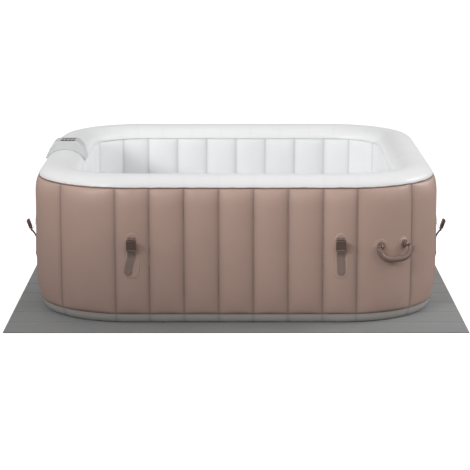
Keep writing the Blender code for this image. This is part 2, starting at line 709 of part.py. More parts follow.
def build_machinery(skin):
    """The pump, heater, blower and electronics inside the control box."""
    pump = mount_empty("pump_mount", LEFT, PORT_OFFSET, PORT_HEIGHT)
    motor, volute = 0.042, 0.055
    housing = [(0, 0.040), (motor, 0.040), (motor, 0.100), (volute, 0.104), (volute, 0.150),
               (0.049, 0.150), (0.049, 0.116), (0.0048, 0.116), (0.0048, 0.096), (0, 0.096)]
    body = turned_on_wall("pump_housing", pump, housing, skin["dark"])
    cover = [(0.0125, 0.1505), (volute, 0.1505), (volute, 0.1545), (0.019, 0.1545), (0.019, 0.1600),
             (0.0125, 0.1600)]
    turned_on_wall("pump_cover", pump, cover, skin["dark"])
    wheel = [(0, -0.022), (0.004, -0.022), (0.004, 0), (0.040, 0), (0.040, 0.004), (0.010, 0.006),
             (0.008, 0.018), (0, 0.018)]
    impeller = vane_ring("pump_impeller", wheel, (0.006, -0.001, 0.002), (0.038, 0.001, 0.018), 6,
                         skin["white"])
    fix_to(pump, impeller, (0, 0.120, 0), (-math.pi / 2, 0, 0))
    pipe = [(0.0110, 0.1610), (0.0150, 0.1610), (0.0150, 0.2000), (0.0110, 0.2000)]
    turned_on_wall("intake_pipe", pump, pipe, skin["dark"])

    heater_empty = mount_empty("heater_mount", LEFT, -PORT_OFFSET, PORT_HEIGHT)
    path_profile = [(0, -0.060), (0.008, -0.060), (0.008, -0.045), (0, -0.045)]
    water_path = turned("pump_outlet", path_profile, None, 12)
    fix_to(pump, water_path, (0, 0.134, 0), (0, math.pi / 2, 0))
    combine(body, water_path)
    tank_profile = [(0, -0.105), (0.030, -0.105), (0.036, -0.095), (0.036, 0.095), (0.030, 0.105),
                    (0, 0.105)]
    tank = turned("heater_tank", tank_profile, skin["steel"])
    fix_to(heater_empty, tank, (0, 0.098, 0))
    outlet = turned("heater_outlet", [(0, 0.100), (0.015, 0.100), (0.015, 0.200), (0, 0.200)], None)
    fix_to(heater_empty, outlet, rotation=(-math.pi / 2, 0, 0))
    inlet = turned("heater_inlet", [(0, 0), (0.010, 0), (0.010, 0.0970), (0, 0.0970)], None)
    fix_to(heater_empty, inlet, (0, 0.120, 0), (0, math.pi / 2, 0))
    for stub in (outlet, inlet):
        combine(tank, stub, "UNION")

    blower = mount_empty("blower_mount", LEFT, 0.110, 0.425)
    shell = [(0, 0.110), (0.0610, 0.110), (0.0640, 0.104), (0.0640, 0.045), (0.0400, 0.045),
             (0.0400, 0.048), (0.0600, 0.048), (0.0600, 0.100), (0.0048, 0.100), (0.0048, 0.107),
             (0, 0.107)]
    scroll = turned_on_wall("air_blower", blower, shell, skin["dark"])
    combine(scroll, box_cutter("blower_outlet", (0.142, 0.078, 0.35), (0.158, 0.094, 0.40)))
    fan_hub = [(0, -0.020), (0.015, -0.020), (0.015, 0.018), (0.004, 0.018), (0.004, 0.0245),
               (0, 0.0245)]
    fan = vane_ring("blower_fan", fan_hub, (0.012, -0.001, -0.018), (0.054, 0.001, 0.016), 9,
                    skin["white"])
    fix_to(blower, fan, (0, 0.080, 0), (-math.pi / 2, 0, 0))

    box = mount_empty("air_pipe_mount", LEFT, AIR_PIPE_OFFSET, 0.0)
    bends = ((0, 0.086, 0.366), (0, 0.086, 0.070), (0, 0.092, 0.042), (0, 0.112, 0.030),
             (0, 0.140, AIR_PIPE_HEIGHT), (0, 0.203, AIR_PIPE_HEIGHT))
    route = [Vector(bend) for bend in bends]
    fix_to(box, tube("air_pipe", route, 0.0115, skin["dark"], sides=2))

    electronics = mount_empty("board_mount", LEFT, 0.0, 0.0)
    board = block("circuit_board", (-0.185, 0.150, 0.345), (-0.030, 0.152, 0.515), skin["board"])
    parts = (((-0.170, 0.125, 0.360), (-0.120, 0.151, 0.410)),
             ((-0.100, 0.135, 0.360), (-0.080, 0.151, 0.395)),
             ((-0.070, 0.135, 0.360), (-0.050, 0.151, 0.395)),
             ((-0.160, 0.130, 0.440), (-0.060, 0.151, 0.460)))
    for k, (part_low, part_high) in enumerate(parts):
        combine(board, fix_to(electronics, block(f"board_part_{k}", part_low, part_high, None)), "UNION")
    fix_to(electronics, board)


# ---------------------------------------------------------------- fittings on the walls

def build_filter(skin):
    """Filter and its cover over the water intake inside the tub."""
    empty = mount_empty("filter_mount", LEFT, PORT_OFFSET, PORT_HEIGHT)
    face = WALL_THICKNESS + GAP
    base = [(0.0155, 0.186), (0.0205, 0.186), (0.0205, face), (0.0560, face), (0.0560, face + 0.004),
            (0.0155, face + 0.004)]
    turned_on_wall("filter_base", empty, base, skin["panel"])

    pleats, length = 20, 0.080
    outline = [(0.047 if k % 2 else 0.040) for k in range(2 * pleats)]
    bm = bmesh.new()
    loops = []
    for height in (0, length):
        for radii in (outline, [0.021] * (2 * pleats)):
            angles = [math.pi * k / pleats for k in range(2 * pleats)]
            loops.append([bm.verts.new((r * math.cos(a), r * math.sin(a), height))
                          for r, a in zip(radii, angles)])
    for first, second in ((0, 1), (1, 3), (3, 2), (2, 0)):
        for k in range(2 * pleats):
            after = (k + 1) % (2 * pleats)
            bm.faces.new((loops[first][k], loops[first][after], loops[second][after], loops[second][k]))
    cartridge = add_mesh("filter_cartridge", bm, skin["white"])
    fix_to(empty, cartridge, (0, face + 0.005, 0), (-math.pi / 2, 0, 0))

    cup = [(0, 0.0900), (0.0500, 0.0900), (0.0560, 0.0850), (0.0560, 0), (0.0525, 0), (0.0525, 0.0840),
           (0.0490, 0.0875), (0, 0.0875)]
    cover = turned("filter_cover", cup, skin["panel"])
    for k in range(6):
        angle = math.pi * k / 6
        slit = block(f"cover_slit_{k}", (-0.08, -0.004, 0.018), (0.08, 0.004, 0.072), None)
        slit.rotation_euler = (0, 0, angle)
        combine(cover, slit)
    settle(cover)
    fix_to(empty, cover, (0, face + 0.0045, 0), (-math.pi / 2, 0, 0))

    outlet = mount_empty("nozzle_mount", LEFT, -PORT_OFFSET, PORT_HEIGHT)
    nozzle = [(0.0155, 0.186), (0.0205, 0.186), (0.0205, face), (0.0380, face), (0.0380, face + 0.005),
              (0.0240, face + 0.012), (0.0210, face + 0.012), (0.0155, face + 0.004)]
    turned_on_wall("return_nozzle", outlet, nozzle, skin["panel"])


def build_valves(skin, outer, inner):
    """The inflation valve on the left wall and the drain through the back wall, with their caps."""
    spot = mount_empty("valve_mount", LEFT, VALVE_OFFSET, VALVE_HEIGHT)
    combine(outer, rod_cutter("valve_hole", LEFT, VALVE_OFFSET, VALVE_HEIGHT, 0.0195, -0.02, 0.02))
    seat = [(0.0130, -0.0140), (0.0180, -0.0140), (0.0180, -0.0040), (0.0330, -0.0040), (0.0330, -GAP),
            (0.0185, -GAP), (0.0185, 0.0300), (0.0130, 0.0300)]
    turned_on_wall("inflation_valve_seat", spot, seat, skin["dark"])
    cap = [(0, -0.0220), (0.0215, -0.0220), (0.0230, -0.0200), (0.0230, -0.0046), (0.0186, -0.0046),
           (0.0186, -0.0150), (0.0120, -0.0150), (0.0120, 0.0050), (0, 0.0050)]
    turned_on_wall("inflation_valve_cap", spot, cap, skin["dark"])

    drain = mount_empty("drain_mount", BACK, DRAIN_OFFSET, DRAIN_HEIGHT)
    combine(outer, rod_cutter("drain_hole", BACK, DRAIN_OFFSET, DRAIN_HEIGHT, 0.0145, -0.02, 0.05))
    combine(inner, rod_cutter("drain_inner_hole", BACK, DRAIN_OFFSET, DRAIN_HEIGHT, 0.0145, 0.17, 0.23))
    seat = [(0.0090, -0.0240), (0.0130, -0.0240), (0.0130, -0.0020), (0.0280, -0.0020), (0.0280, 0.0015),
            (0.0125, 0.0015), (0.0125, 0.2000), (0.0090, 0.2000)]
    turned_on_wall("drain_pipe", drain, seat, skin["dark"])
    cap = [(0, -0.0290), (0.0180, -0.0290), (0.0195, -0.0275), (0.0195, -0.0026), (0.0136, -0.0026),
           (0.0136, -0.0246), (0, -0.0246)]
    turned_on_wall("drain_cap", drain, cap, skin["dark"])
    face = WALL_THICKNESS + GAP
    strainer = [(0.0130, 0.1880), (0.0140, 0.1880), (0.0140, face), (0.0260, face),
                (0.0240, face + 0.004), (0.0130, face + 0.004)]
    turned_on_wall("drain_strainer", drain, strainer, skin["panel"])


def main():
    for obj in list(bpy.data.objects):
        bpy.data.objects.remove(obj)
    skin = {
        "brown": make_material("outer_vinyl", (0.27, 0.19, 0.165), 0.5),
        "white": make_material("white_vinyl", (0.80, 0.80, 0.80), 0.45),
        "band": make_material("base_vinyl", (0.42, 0.40, 0.38), 0.55),
        "mat": make_material("ground_mat", (0.16, 0.16, 0.165), 0.85),
        "strap": make_material("webbing", (0.20, 0.15, 0.13), 0.8),
        "trim": make_material("brown_trim", (0.24, 0.17, 0.15), 0.55),
        "buckle": make_material("buckle_plastic", (0.045, 0.032, 0.028), 0.4),
        "panel": make_material("panel_plastic", (0.55, 0.55, 0.55), 0.45),
        "key": make_material("key_plastic", (0.015, 0.015, 0.015), 0.3),
        "dark": make_material("dark_plastic", (0.06, 0.06, 0.065), 0.5),
        "steel": make_material("steel", (0.55, 0.55, 0.56), 0.3, 1.0),
        "board": make_material("circuit_board", (0.03, 0.14, 0.06), 0.5),
    }
    outer, inner, rim = build_shell(skin)
    build_air_ring(skin)
    build_web(skin)
    build_panel(skin, rim)
    build_control_box(skin, outer, inner)
    build_machinery(skin)
    build_filter(skin)
    build_valves(skin, outer, inner)
    build_buckles(skin)
    build_handles(skin)


main()
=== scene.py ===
# %% [markdown]
# # A square inflatable hot tub
# This lesson dresses a working model of an inflatable tub. The working model has its pump, its valves and
# its hinges in plain shapes. Here each part gets the surface that the real one has: vinyl that air holds
# tight between its seams, woven webbing, moulded plastic and a laid mat.

# %% Load the frame
import json
import math

import bmesh
import bpy
from mathutils import Matrix, Vector


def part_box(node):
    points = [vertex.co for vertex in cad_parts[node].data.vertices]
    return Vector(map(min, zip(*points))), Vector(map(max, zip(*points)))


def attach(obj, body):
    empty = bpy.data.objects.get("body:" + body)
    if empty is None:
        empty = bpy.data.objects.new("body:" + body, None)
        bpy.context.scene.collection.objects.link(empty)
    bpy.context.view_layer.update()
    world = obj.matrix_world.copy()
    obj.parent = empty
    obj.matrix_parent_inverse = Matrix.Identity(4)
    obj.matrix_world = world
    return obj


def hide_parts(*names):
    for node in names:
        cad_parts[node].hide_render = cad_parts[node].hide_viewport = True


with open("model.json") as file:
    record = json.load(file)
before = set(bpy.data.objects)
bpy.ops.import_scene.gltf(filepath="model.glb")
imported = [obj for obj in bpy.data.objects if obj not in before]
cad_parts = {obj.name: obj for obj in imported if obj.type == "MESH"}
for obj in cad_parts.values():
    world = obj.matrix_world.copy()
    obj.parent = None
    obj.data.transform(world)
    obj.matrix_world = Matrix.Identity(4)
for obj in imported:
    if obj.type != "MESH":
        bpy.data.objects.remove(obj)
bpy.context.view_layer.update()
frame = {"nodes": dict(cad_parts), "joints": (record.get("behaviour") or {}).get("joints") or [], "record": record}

# %% [markdown]
# ## The camera first
# A tub is shown best from far away with a long lens, a little above the rim. The far wall then looks
# nearly as wide as the near one, and the upright panels stay parallel. A short lens from close by would
# spread the near corners and shrink the far ones. The camera is given its place and only tips down, so
# that it stays level.

# %% Camera
CAMERA_PLACE = (-0.005, -8.866, 1.97)
CAMERA_DOWN = math.radians(11.13)
FOCAL_LENGTH = 141.5
SENSOR = 36.0

camera_data = bpy.data.cameras.new("camera")
camera_data.lens = FOCAL_LENGTH
camera_data.sensor_width = SENSOR
camera = bpy.data.objects.new("camera", camera_data)
camera.location = CAMERA_PLACE
camera.rotation_euler = (math.pi / 2 - CAMERA_DOWN, 0, 0)
bpy.context.scene.collection.objects.link(camera)
bpy.context.scene.camera = camera
print("camera looks down", round(math.degrees(CAMERA_DOWN), 1), "degrees")

# %% [markdown]
# ## Light and floor
# The main light is a long strip with a grid on it, in front and to the left. A grid narrows the beam, and
# it is aimed above the rim, so the wall is bright under the rim and falls away towards the floor: this is
# how a plain upright wall is made to look round. Weaker ones fill from the right and draw the two far
# corners, and a white sky keeps the shadows open. A Light Path node tells the camera's own rays from all
# others, so the camera can see that sky brighter than it lights.

# %% Studio
def add_light(name, place, target, size, power, spread=180.0):
    """An area light that faces a point. A spread below 180 degrees is a grid on its front."""
    data = bpy.data.lights.new(name, "AREA")
    data.shape = "RECTANGLE"
    data.size, data.size_y = size
    data.energy = power
    data.spread = math.radians(spread)
    light = bpy.data.objects.new(name, data)
    light.location = place
    light.rotation_euler = (Vector(target) - Vector(place)).to_track_quat("-Z", "Y").to_euler()
    bpy.context.scene.collection.objects.link(light)


add_light("strip_light", (-1.9, -3.3, 2.0), (0.0, -0.9, 1.0), (5.2, 0.5), 13.5, 40)
add_light("fill_light", (1.9, -3.3, 2.0), (0.0, -0.9, 1.0), (3.6, 0.5), 1.6, 40)
add_light("right_light", (4.0, 0.5, 2.0), (0.8, 0, 0.9), (2.5, 0.8), 11, 60)
add_light("left_light", (-5.0, 0.0, 2.4), (-0.8, 0, 0.9), (2.5, 0.8), 3, 60)

SKY_LIGHT, SKY_SEEN = 0.54, 1.0
world = bpy.data.worlds.new("sky")
world.use_nodes = True
background = world.node_tree.nodes["Background"]
background.inputs["Color"].default_value = (1.0, 1.0, 1.0, 1.0)
seen = world.node_tree.nodes.new("ShaderNodeLightPath")
strength = world.node_tree.nodes.new("ShaderNodeMath")
strength.operation = "MULTIPLY_ADD"
strength.inputs[1].default_value = SKY_SEEN - SKY_LIGHT
strength.inputs[2].default_value = SKY_LIGHT
world.node_tree.links.new(seen.outputs["Is Camera Ray"], strength.inputs[0])
world.node_tree.links.new(strength.outputs[0], background.inputs["Strength"])
bpy.context.scene.world = world
bpy.context.scene.view_settings.view_transform = "Standard"
print("lights:", len(bpy.data.lights))

# %% [markdown]
# ## Writing node trees as formulas
# Both shader trees and geometry trees are built below. A chain of Math nodes is hard to read as code, so a
# `Field` wraps a socket and answers to +, - and *. The tree that comes out is the same as one built by
# hand.

# %% Node helpers
class Field:
    """A node's output that can be added, multiplied and so on."""

    def __init__(self, tree, socket):
        self.tree = tree
        self.socket = socket

    def math(self, operation, *others, clamp=False):
        node = self.tree.nodes.new("ShaderNodeMath")
        node.operation = operation
        node.use_clamp = clamp
        for slot, value in zip(node.inputs, (self, *others)):
            feed(slot, value)
        return Field(self.tree, node.outputs[0])

    def __add__(self, other):
        return self.math("ADD", other)

    def __sub__(self, other):
        return self.math("SUBTRACT", other)

    def __rsub__(self, other):
        return self.math("MULTIPLY_ADD", -1.0, other)

    def __mul__(self, other):
        return self.math("MULTIPLY", other)

    def __truediv__(self, other):
        return self.math("DIVIDE", other)

    def __pow__(self, other):
        return self.math("POWER", other)


def feed(slot, value):
    """Gives a node's input a link, if value is a Field, or else a plain value."""
    if isinstance(value, Field):
        slot.id_data.links.new(value.socket, slot)
    else:
        slot.default_value = value


def add_node(tree, kind, inputs=(), **settings):
    """A node with its settings and the inputs that are given."""
    node = tree.nodes.new(kind)
    for name, value in settings.items():
        setattr(node, name, value)
    for key, value in dict(inputs).items():
        feed(node.inputs[key], value)
    return node


def out(node, key=0):
    """A node's output, as a Field."""
    return Field(node.id_data, node.outputs[key])


def new_group(name, kind, inputs, outputs):
    """A node group with named sockets. Inputs are (name, type, default), and outputs (name, type)."""
    tree = bpy.data.node_groups.new(name, kind)
    for label, socket, value in inputs:
        made = tree.interface.new_socket(label, in_out="INPUT", socket_type=socket)
        if value is not None:
            made.default_value = value
    for label, socket in outputs:
        tree.interface.new_socket(label, in_out="OUTPUT", socket_type=socket)
    return tree, tree.nodes.new("NodeGroupInput"), tree.nodes.new("NodeGroupOutput")


FLOAT, GEOMETRY, MATERIAL = "NodeSocketFloat", "NodeSocketGeometry", "NodeSocketMaterial"
print("socket types:", FLOAT, GEOMETRY, MATERIAL)

# %% [markdown]
# ## Finishes shared by several materials
# Every vinyl sheet carries the same fine embossed grain, and its colour drifts a little where the sheet
# was stretched or handled. Every moulded part carries the spark-eroded grain of its mould. Each effect is
# one group with named sockets, so that a change to the grain reaches all the vinyl at once.

# %% Vinyl grain group
def object_point(tree):
    """Object coordinates: metres from the middle of the mat."""
    return out(add_node(tree, "ShaderNodeTexCoord"), "Object")


def noise(tree, vector, scale, detail=2.0, roughness=0.5):
    """Smooth noise, 0 to 1."""
    node = add_node(tree, "ShaderNodeTexNoise", {"Vector": vector, "Scale": scale, "Detail": detail,
                                                 "Roughness": roughness})
    return out(node, 0)


vinyl_grain, given, result = new_group(
    "vinyl_grain", "ShaderNodeTree", [("Grain Size", FLOAT, 0.0012), ("Drift Size", FLOAT, 0.25)],
    [("Height", FLOAT), ("Drift", FLOAT)])
point = object_point(vinyl_grain)
grain_scale = out(given, "Grain Size") ** -1.0
cells = add_node(vinyl_grain, "ShaderNodeTexVoronoi", {"Vector": point, "Scale": grain_scale},
                 feature="SMOOTH_F1")
pits = noise(vinyl_grain, point, grain_scale * 0.45, 3.0)
feed(result.inputs["Height"], out(cells, "Distance") * 0.7 + pits * 0.6)
broad = noise(vinyl_grain, point, out(given, "Drift Size") ** -1.0, 3.0, 0.6)
feed(result.inputs["Drift"], broad.math("SUBTRACT", 0.3).math("MULTIPLY", 2.5, clamp=True))
print("vinyl grain:", len(vinyl_grain.nodes), "nodes")

# %% [markdown]
# ## Grain and weave
# A moulded part carries the even, fine pits of its steel mould, so one noise is enough. Webbing is woven
# on a loom: its threads cross at a slant, over and under. Two sine waves that run opposite ways and the
# greater of the two give those crossing ridges, which a picture of cloth would also give, but only at one
# size.

# %% Mould grain and weave groups
mould_grain, given, result = new_group(
    "mould_grain", "ShaderNodeTree", [("Grain Size", FLOAT, 0.0007)], [("Height", FLOAT), ("Drift", FLOAT)])
point = object_point(mould_grain)
feed(result.inputs["Height"], noise(mould_grain, point, out(given, "Grain Size") ** -1.0, 4.0, 0.65))
feed(result.inputs["Drift"], noise(mould_grain, point, 14.0, 2.0))

weave, given, result = new_group(
    "weave", "ShaderNodeTree", [("Thread Width", FLOAT, 0.0013)], [("Height", FLOAT), ("Shade", FLOAT)])
uv = add_node(weave, "ShaderNodeUVMap")
parts = add_node(weave, "ShaderNodeSeparateXYZ", {0: out(uv)})
along = out(parts, "Y") / out(given, "Thread Width")
across = out(parts, "X") / out(given, "Thread Width")
twill = (across + along).math("MULTIPLY", math.pi).math("SINE")
counter = (across - along).math("MULTIPLY", math.pi).math("SINE")
threads = twill.math("MAXIMUM", counter)
feed(result.inputs["Height"], threads)
# Shade darkens the hollows between the threads: painted shade.
feed(result.inputs["Shade"], threads.math("MULTIPLY_ADD", 0.25, 0.75, clamp=True))
print("weave:", len(weave.nodes), "nodes")

# %% [markdown]
# ## Painted shade in the seams
# The fold of a seam lies in shade, and that shade is painted into the colour here. The shapes below store
# how near each point is to a seam, in an attribute named seam, and this group turns it into painted shade.
# The mark belongs to the surface, so it stays in its fold from every side.

# %% Seam shade group
seam_shade, given, result = new_group(
    "seam_shade", "ShaderNodeTree", [("Depth", FLOAT, 0.4)], [("Shade", FLOAT)])
mark = add_node(seam_shade, "ShaderNodeAttribute", attribute_name="seam")
feed(result.inputs["Shade"], 1.0 - out(mark, "Fac") * out(given, "Depth"))
print("shader groups:", [group.name for group in bpy.data.node_groups])

# %% [markdown]
# ## The materials
# A material takes the groups it needs and keeps its own Principled BSDF. Colours are given as they look on
# a screen and turned to linear values here.

# %% Materials
def linear(red, green, blue):
    """A screen colour, 0 to 255, as a linear one."""
    values = [channel / 255 for channel in (red, green, blue)]
    return tuple(v / 12.92 if v <= 0.04045 else ((v + 0.055) / 1.055) ** 2.4 for v in values) + (1.0,)


def darker(colour, share):
    """A colour times a share, still opaque."""
    return tuple(channel * share for channel in colour[:3]) + (1.0,)


def new_material(name, roughness, **constants):
    """A material with its Principled BSDF, and constants set on the shader's own sockets."""
    material = bpy.data.materials.new(name)
    material.use_nodes = True
    shader = material.node_tree.nodes["Principled BSDF"]
    shader.inputs["Roughness"].default_value = roughness
    for socket, value in constants.items():
        shader.inputs[socket.replace("_", " ")].default_value = value
    return material, material.node_tree, shader


def group_node(tree, group, **values):
    """A shared group placed in a material with its own values."""
    node = tree.nodes.new("ShaderNodeGroup")
    node.node_tree = group
    for name, value in values.items():
        feed(node.inputs[name.replace("_", " ")], value)
    return node


def mix_colour(tree, share, first, second):
    """The first colour where share is 0, and the second where it is 1."""
    node = add_node(tree, "ShaderNodeMix", data_type="RGBA")
    for slot, value in ((node.inputs[0], share), (node.inputs[6], first), (node.inputs[7], second)):
        feed(slot, value)
    return Field(tree, node.outputs[2])


def add_bump(tree, shader, height, distance):
    """Raises the surface's light and shade by a height map, distance metres high."""
    bump = add_node(tree, "ShaderNodeBump", {"Height": height, "Distance": distance, "Strength": 1.0})
    feed(shader.inputs["Normal"], out(bump))


VINYL_RELIEF = 0.00010


def vinyl(name, colour, roughness, seam_shade_depth=0.4, grain=0.0012, drift=0.93):
    """Embossed vinyl sheet, with painted shade in its seams."""
    material, tree, shader = new_material(name, roughness)
    grain_node = group_node(tree, vinyl_grain, Grain_Size=grain)
    shade = out(group_node(tree, seam_shade, Depth=seam_shade_depth))
    base = mix_colour(tree, out(grain_node, "Drift"), darker(colour, drift), colour)
    # Painted shade: the colour falls towards a quarter of itself in a seam's fold.
    seams = mix_colour(tree, shade, darker(colour, 0.25), base)
    feed(shader.inputs["Base Color"], seams)
    feed(shader.inputs["Roughness"], out(grain_node, "Drift").math("MULTIPLY_ADD", -0.08, roughness + 0.04))
    add_bump(tree, shader, out(grain_node, "Height"), VINYL_RELIEF)
    return material


def moulded(name, colour, roughness, relief=0.00006, **constants):
    """Moulded plastic with the fine grain of its mould."""
    material, tree, shader = new_material(name, roughness, **constants)
    grain_node = group_node(tree, mould_grain)
    base = mix_colour(tree, out(grain_node, "Drift"), darker(colour, 0.88), colour)
    feed(shader.inputs["Base Color"], base)
    feed(shader.inputs["Roughness"], out(grain_node, "Drift").math("MULTIPLY_ADD", 0.12, roughness - 0.06))
    add_bump(tree, shader, out(grain_node, "Height"), relief)
    return material


def woven(name, colour):
    """Woven webbing: its threads run at a slant across its own UV map, which is in metres."""
    material, tree, shader = new_material(name, 0.75, Sheen_Weight=0.25)
    threads = group_node(tree, weave)
    # The hollows between threads get painted shade from the weave's Shade output.
    feed(shader.inputs["Base Color"], mix_colour(tree, out(threads, "Shade"), darker(colour, 0.45), colour))
    add_bump(tree, shader, out(threads, "Height"), 0.00025)
    return material


MATERIALS = {
    "outer_vinyl": vinyl("outer_vinyl", linear(192, 162, 149), 0.46, seam_shade_depth=0.55),
    "white_vinyl": vinyl("white_vinyl", linear(237, 237, 237), 0.42, seam_shade_depth=0.03, drift=0.97),
    "inner_vinyl": vinyl("inner_vinyl", linear(236, 237, 238), 0.45, seam_shade_depth=0.30, drift=0.97),
    "base_vinyl": vinyl("base_vinyl", linear(184, 180, 175), 0.5, seam_shade_depth=0.3),
    "panel_plastic": moulded("panel_plastic", linear(205, 206, 207), 0.42),
    "buckle_plastic": moulded("buckle_plastic", linear(118, 98, 90), 0.34),
    "dark_plastic": moulded("dark_plastic", linear(62, 62, 64), 0.45),
    "key_plastic": moulded("key_plastic", linear(22, 22, 23), 0.22, Coat_Weight=0.3),
    "webbing": woven("webbing", linear(156, 134, 124)),
}
print(len(MATERIALS), "materials so far")

# %% [markdown]
# ## Steel, circuit board and mat
# Drawn steel has fine lines along its length, so its noise is squeezed one way by a Mapping node. A
# circuit board is a grid of coated tracks, which a Brick Texture gives. The mat is printed to look like
# planks: long streaks across broad, soft blotches.

# %% Machined and printed finishes
steel, tree, shader = new_material("steel", 0.3, Metallic=1.0)
point = object_point(tree)
lines = add_node(tree, "ShaderNodeMapping", {"Vector": point, "Scale": (40.0, 40.0, 900.0)})
drawn = noise(tree, out(lines), 1.0, 3.0)
feed(shader.inputs["Base Color"], mix_colour(tree, drawn, (0.42, 0.42, 0.43, 1), (0.62, 0.62, 0.63, 1)))
feed(shader.inputs["Roughness"], drawn.math("MULTIPLY_ADD", 0.25, 0.2))
add_bump(tree, shader, drawn, 0.00005)
MATERIALS["steel"] = steel

board, tree, shader = new_material("circuit_board", 0.4, Coat_Weight=0.4)
point = object_point(tree)
tracks = add_node(tree, "ShaderNodeTexBrick",
                  {"Vector": point, "Scale": 90.0, "Color1": (0.02, 0.16, 0.06, 1),
                   "Color2": (0.02, 0.12, 0.05, 1), "Mortar": (0.06, 0.26, 0.10, 1)})
feed(shader.inputs["Base Color"], out(tracks, "Color"))
add_bump(tree, shader, out(tracks, "Fac"), 0.0001)
MATERIALS["circuit_board"] = board

mat_sheet, tree, shader = new_material("ground_mat", 0.8)
point = object_point(tree)
strands = add_node(tree, "ShaderNodeMapping", {"Vector": point, "Scale": (3.0, 60.0, 60.0)})
streak = noise(tree, out(strands), 1.0, 4.0, 0.6)
fine = noise(tree, point, 700.0, 2.0)
blotch = noise(tree, point, 3.0, 2.0)
tone = (streak * 0.5 + blotch * 0.5).math("MULTIPLY", 1.0, clamp=True)
# Painted shade in the pressed grooves: the seam mark darkens the planks towards dark grey.
shade = out(group_node(tree, seam_shade, Depth=0.75))
planks = mix_colour(tree, tone, linear(136, 138, 139), linear(172, 174, 174))
feed(shader.inputs["Base Color"], mix_colour(tree, shade, linear(60, 61, 62), planks))
feed(shader.inputs["Roughness"], streak.math("MULTIPLY_ADD", 0.2, 0.68))
add_bump(tree, shader, fine, 0.0002)
MATERIALS["ground_mat"] = mat_sheet
print(len(MATERIALS), "materials")

# %% [markdown]
# ## The studio floor
# The floor of a studio is a sheet of white paper that runs on past the edge of the view. Lit paper throws
# a lot of light back up at whatever stands on it. Here the camera sees the paper glow a little, so that it
# is as white as the sky, and the light that it gives the tub is turned down on its own.

# %% Floor
FLOOR_GLOW = 0.75
FLOOR_BOUNCE = 0.15
FLOOR_REACH = 30.0
FLOOR_LEVEL = -0.0002
floor_material, tree, shader = new_material("studio_floor", 0.9)
point = object_point(tree)
pale = mix_colour(tree, noise(tree, point, 2.0), (0.90, 0.90, 0.90, 1), (0.94, 0.94, 0.94, 1))
looked_at = out(add_node(tree, "ShaderNodeLightPath"), "Is Camera Ray")
bounced = (FLOOR_BOUNCE, FLOOR_BOUNCE, FLOOR_BOUNCE, 1)
feed(shader.inputs["Base Color"], mix_colour(tree, looked_at, bounced, pale))
feed(shader.inputs["Emission Color"], pale)
feed(shader.inputs["Emission Strength"], looked_at * FLOOR_GLOW)

signs = ((-1, -1), (1, -1), (1, 1), (-1, 1))
floor_corners = [(x * FLOOR_REACH, y * FLOOR_REACH, FLOOR_LEVEL) for x, y in signs]
floor_mesh = bpy.data.meshes.new("studio_floor")
floor_mesh.from_pydata(floor_corners, [], [(0, 1, 2, 3)])
floor_mesh.materials.append(floor_material)
studio_floor = bpy.data.objects.new("studio_floor", floor_mesh)
bpy.context.scene.collection.objects.link(studio_floor)
print("floor:", 2 * FLOOR_REACH, "m wide")

# %% [markdown]
# ## One ring for everything
# The wall of the tub is one ring: four straight sides and four round corners. A distance along its outline
# and a depth inwards say where a point is, so seams, buckles and ports are set out once, along the ring,
# and never by angle and side.

# %% The ring
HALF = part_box("outer_wall")[1].x
CORNER_RADIUS = 0.45
FLAT = HALF - CORNER_RADIUS
PANEL_PITCH = 0.153
SIDE_LENGTH = 2 * (FLAT + CORNER_RADIUS * math.pi / 4)
RING_LENGTH = 4 * SIDE_LENGTH
FRONT, RIGHT, BACK, LEFT = range(4)

WALL_THICKNESS = 0.205
SEAM_DIP = 0.018
EDGE_INSET = 0.024
INNER_DIP = 0.014


def ring_side(length):
    """Which side a distance falls on, and how far it is from that side's middle."""
    side = round(length / SIDE_LENGTH)
    return side, length - side * SIDE_LENGTH


def ring_point(length, depth=0.0):
    """The place at a distance along the outer outline, from the front's middle, and a depth inwards."""
    side, along = ring_side(length)
    if abs(along) <= FLAT:
        local = Vector((along, depth - HALF, 0))
    else:
        turn = (abs(along) - FLAT) / CORNER_RADIUS
        reach = CORNER_RADIUS - depth
        aside = math.copysign(FLAT + reach * math.sin(turn), along)
        local = Vector((aside, -FLAT - reach * math.cos(turn), 0))
    return Matrix.Rotation(side * math.pi / 2, 3, "Z") @ local


def ring_turn(length):
    """The ring's heading at a distance along it: 0 where it runs along +X."""
    side, along = ring_side(length)
    turn = side * math.pi / 2
    if abs(along) > FLAT:
        turn += math.copysign((abs(along) - FLAT) / CORNER_RADIUS, along)
    return turn


def ring_frame(side, along, height):
    """A frame on the wall: local X along the ring, Y straight inwards and Z up."""
    length = side * SIDE_LENGTH + along
    place = ring_point(length) + Vector((0, 0, height))
    return Matrix.Translation(place) @ Matrix.Rotation(ring_turn(length), 4, "Z")


def seams(steps, corner_steps):
    """The seams' distances along the ring: whole or half panel pitches on a side, then those of a corner."""
    found = []
    for side in range(4):
        for step in (*steps, *corner_steps):
            for sign in (1, -1):
                found.append(round((side * SIDE_LENGTH + sign * step) % RING_LENGTH, 6))
    return sorted(set(found))


LAST_STEP = 3.5 * PANEL_PITCH
CORNER = SIDE_LENGTH / 2
OUTER_SEAMS = seams([(k + 0.5) * PANEL_PITCH for k in range(4)], [CORNER])
INNER_SEAMS = seams([k * PANEL_PITCH for k in range(4)], [(LAST_STEP + CORNER) / 2])
print("outer seams:", len(OUTER_SEAMS), " inner seams:", len(INNER_SEAMS))
print("ring:", round(RING_LENGTH, 3), "m round")

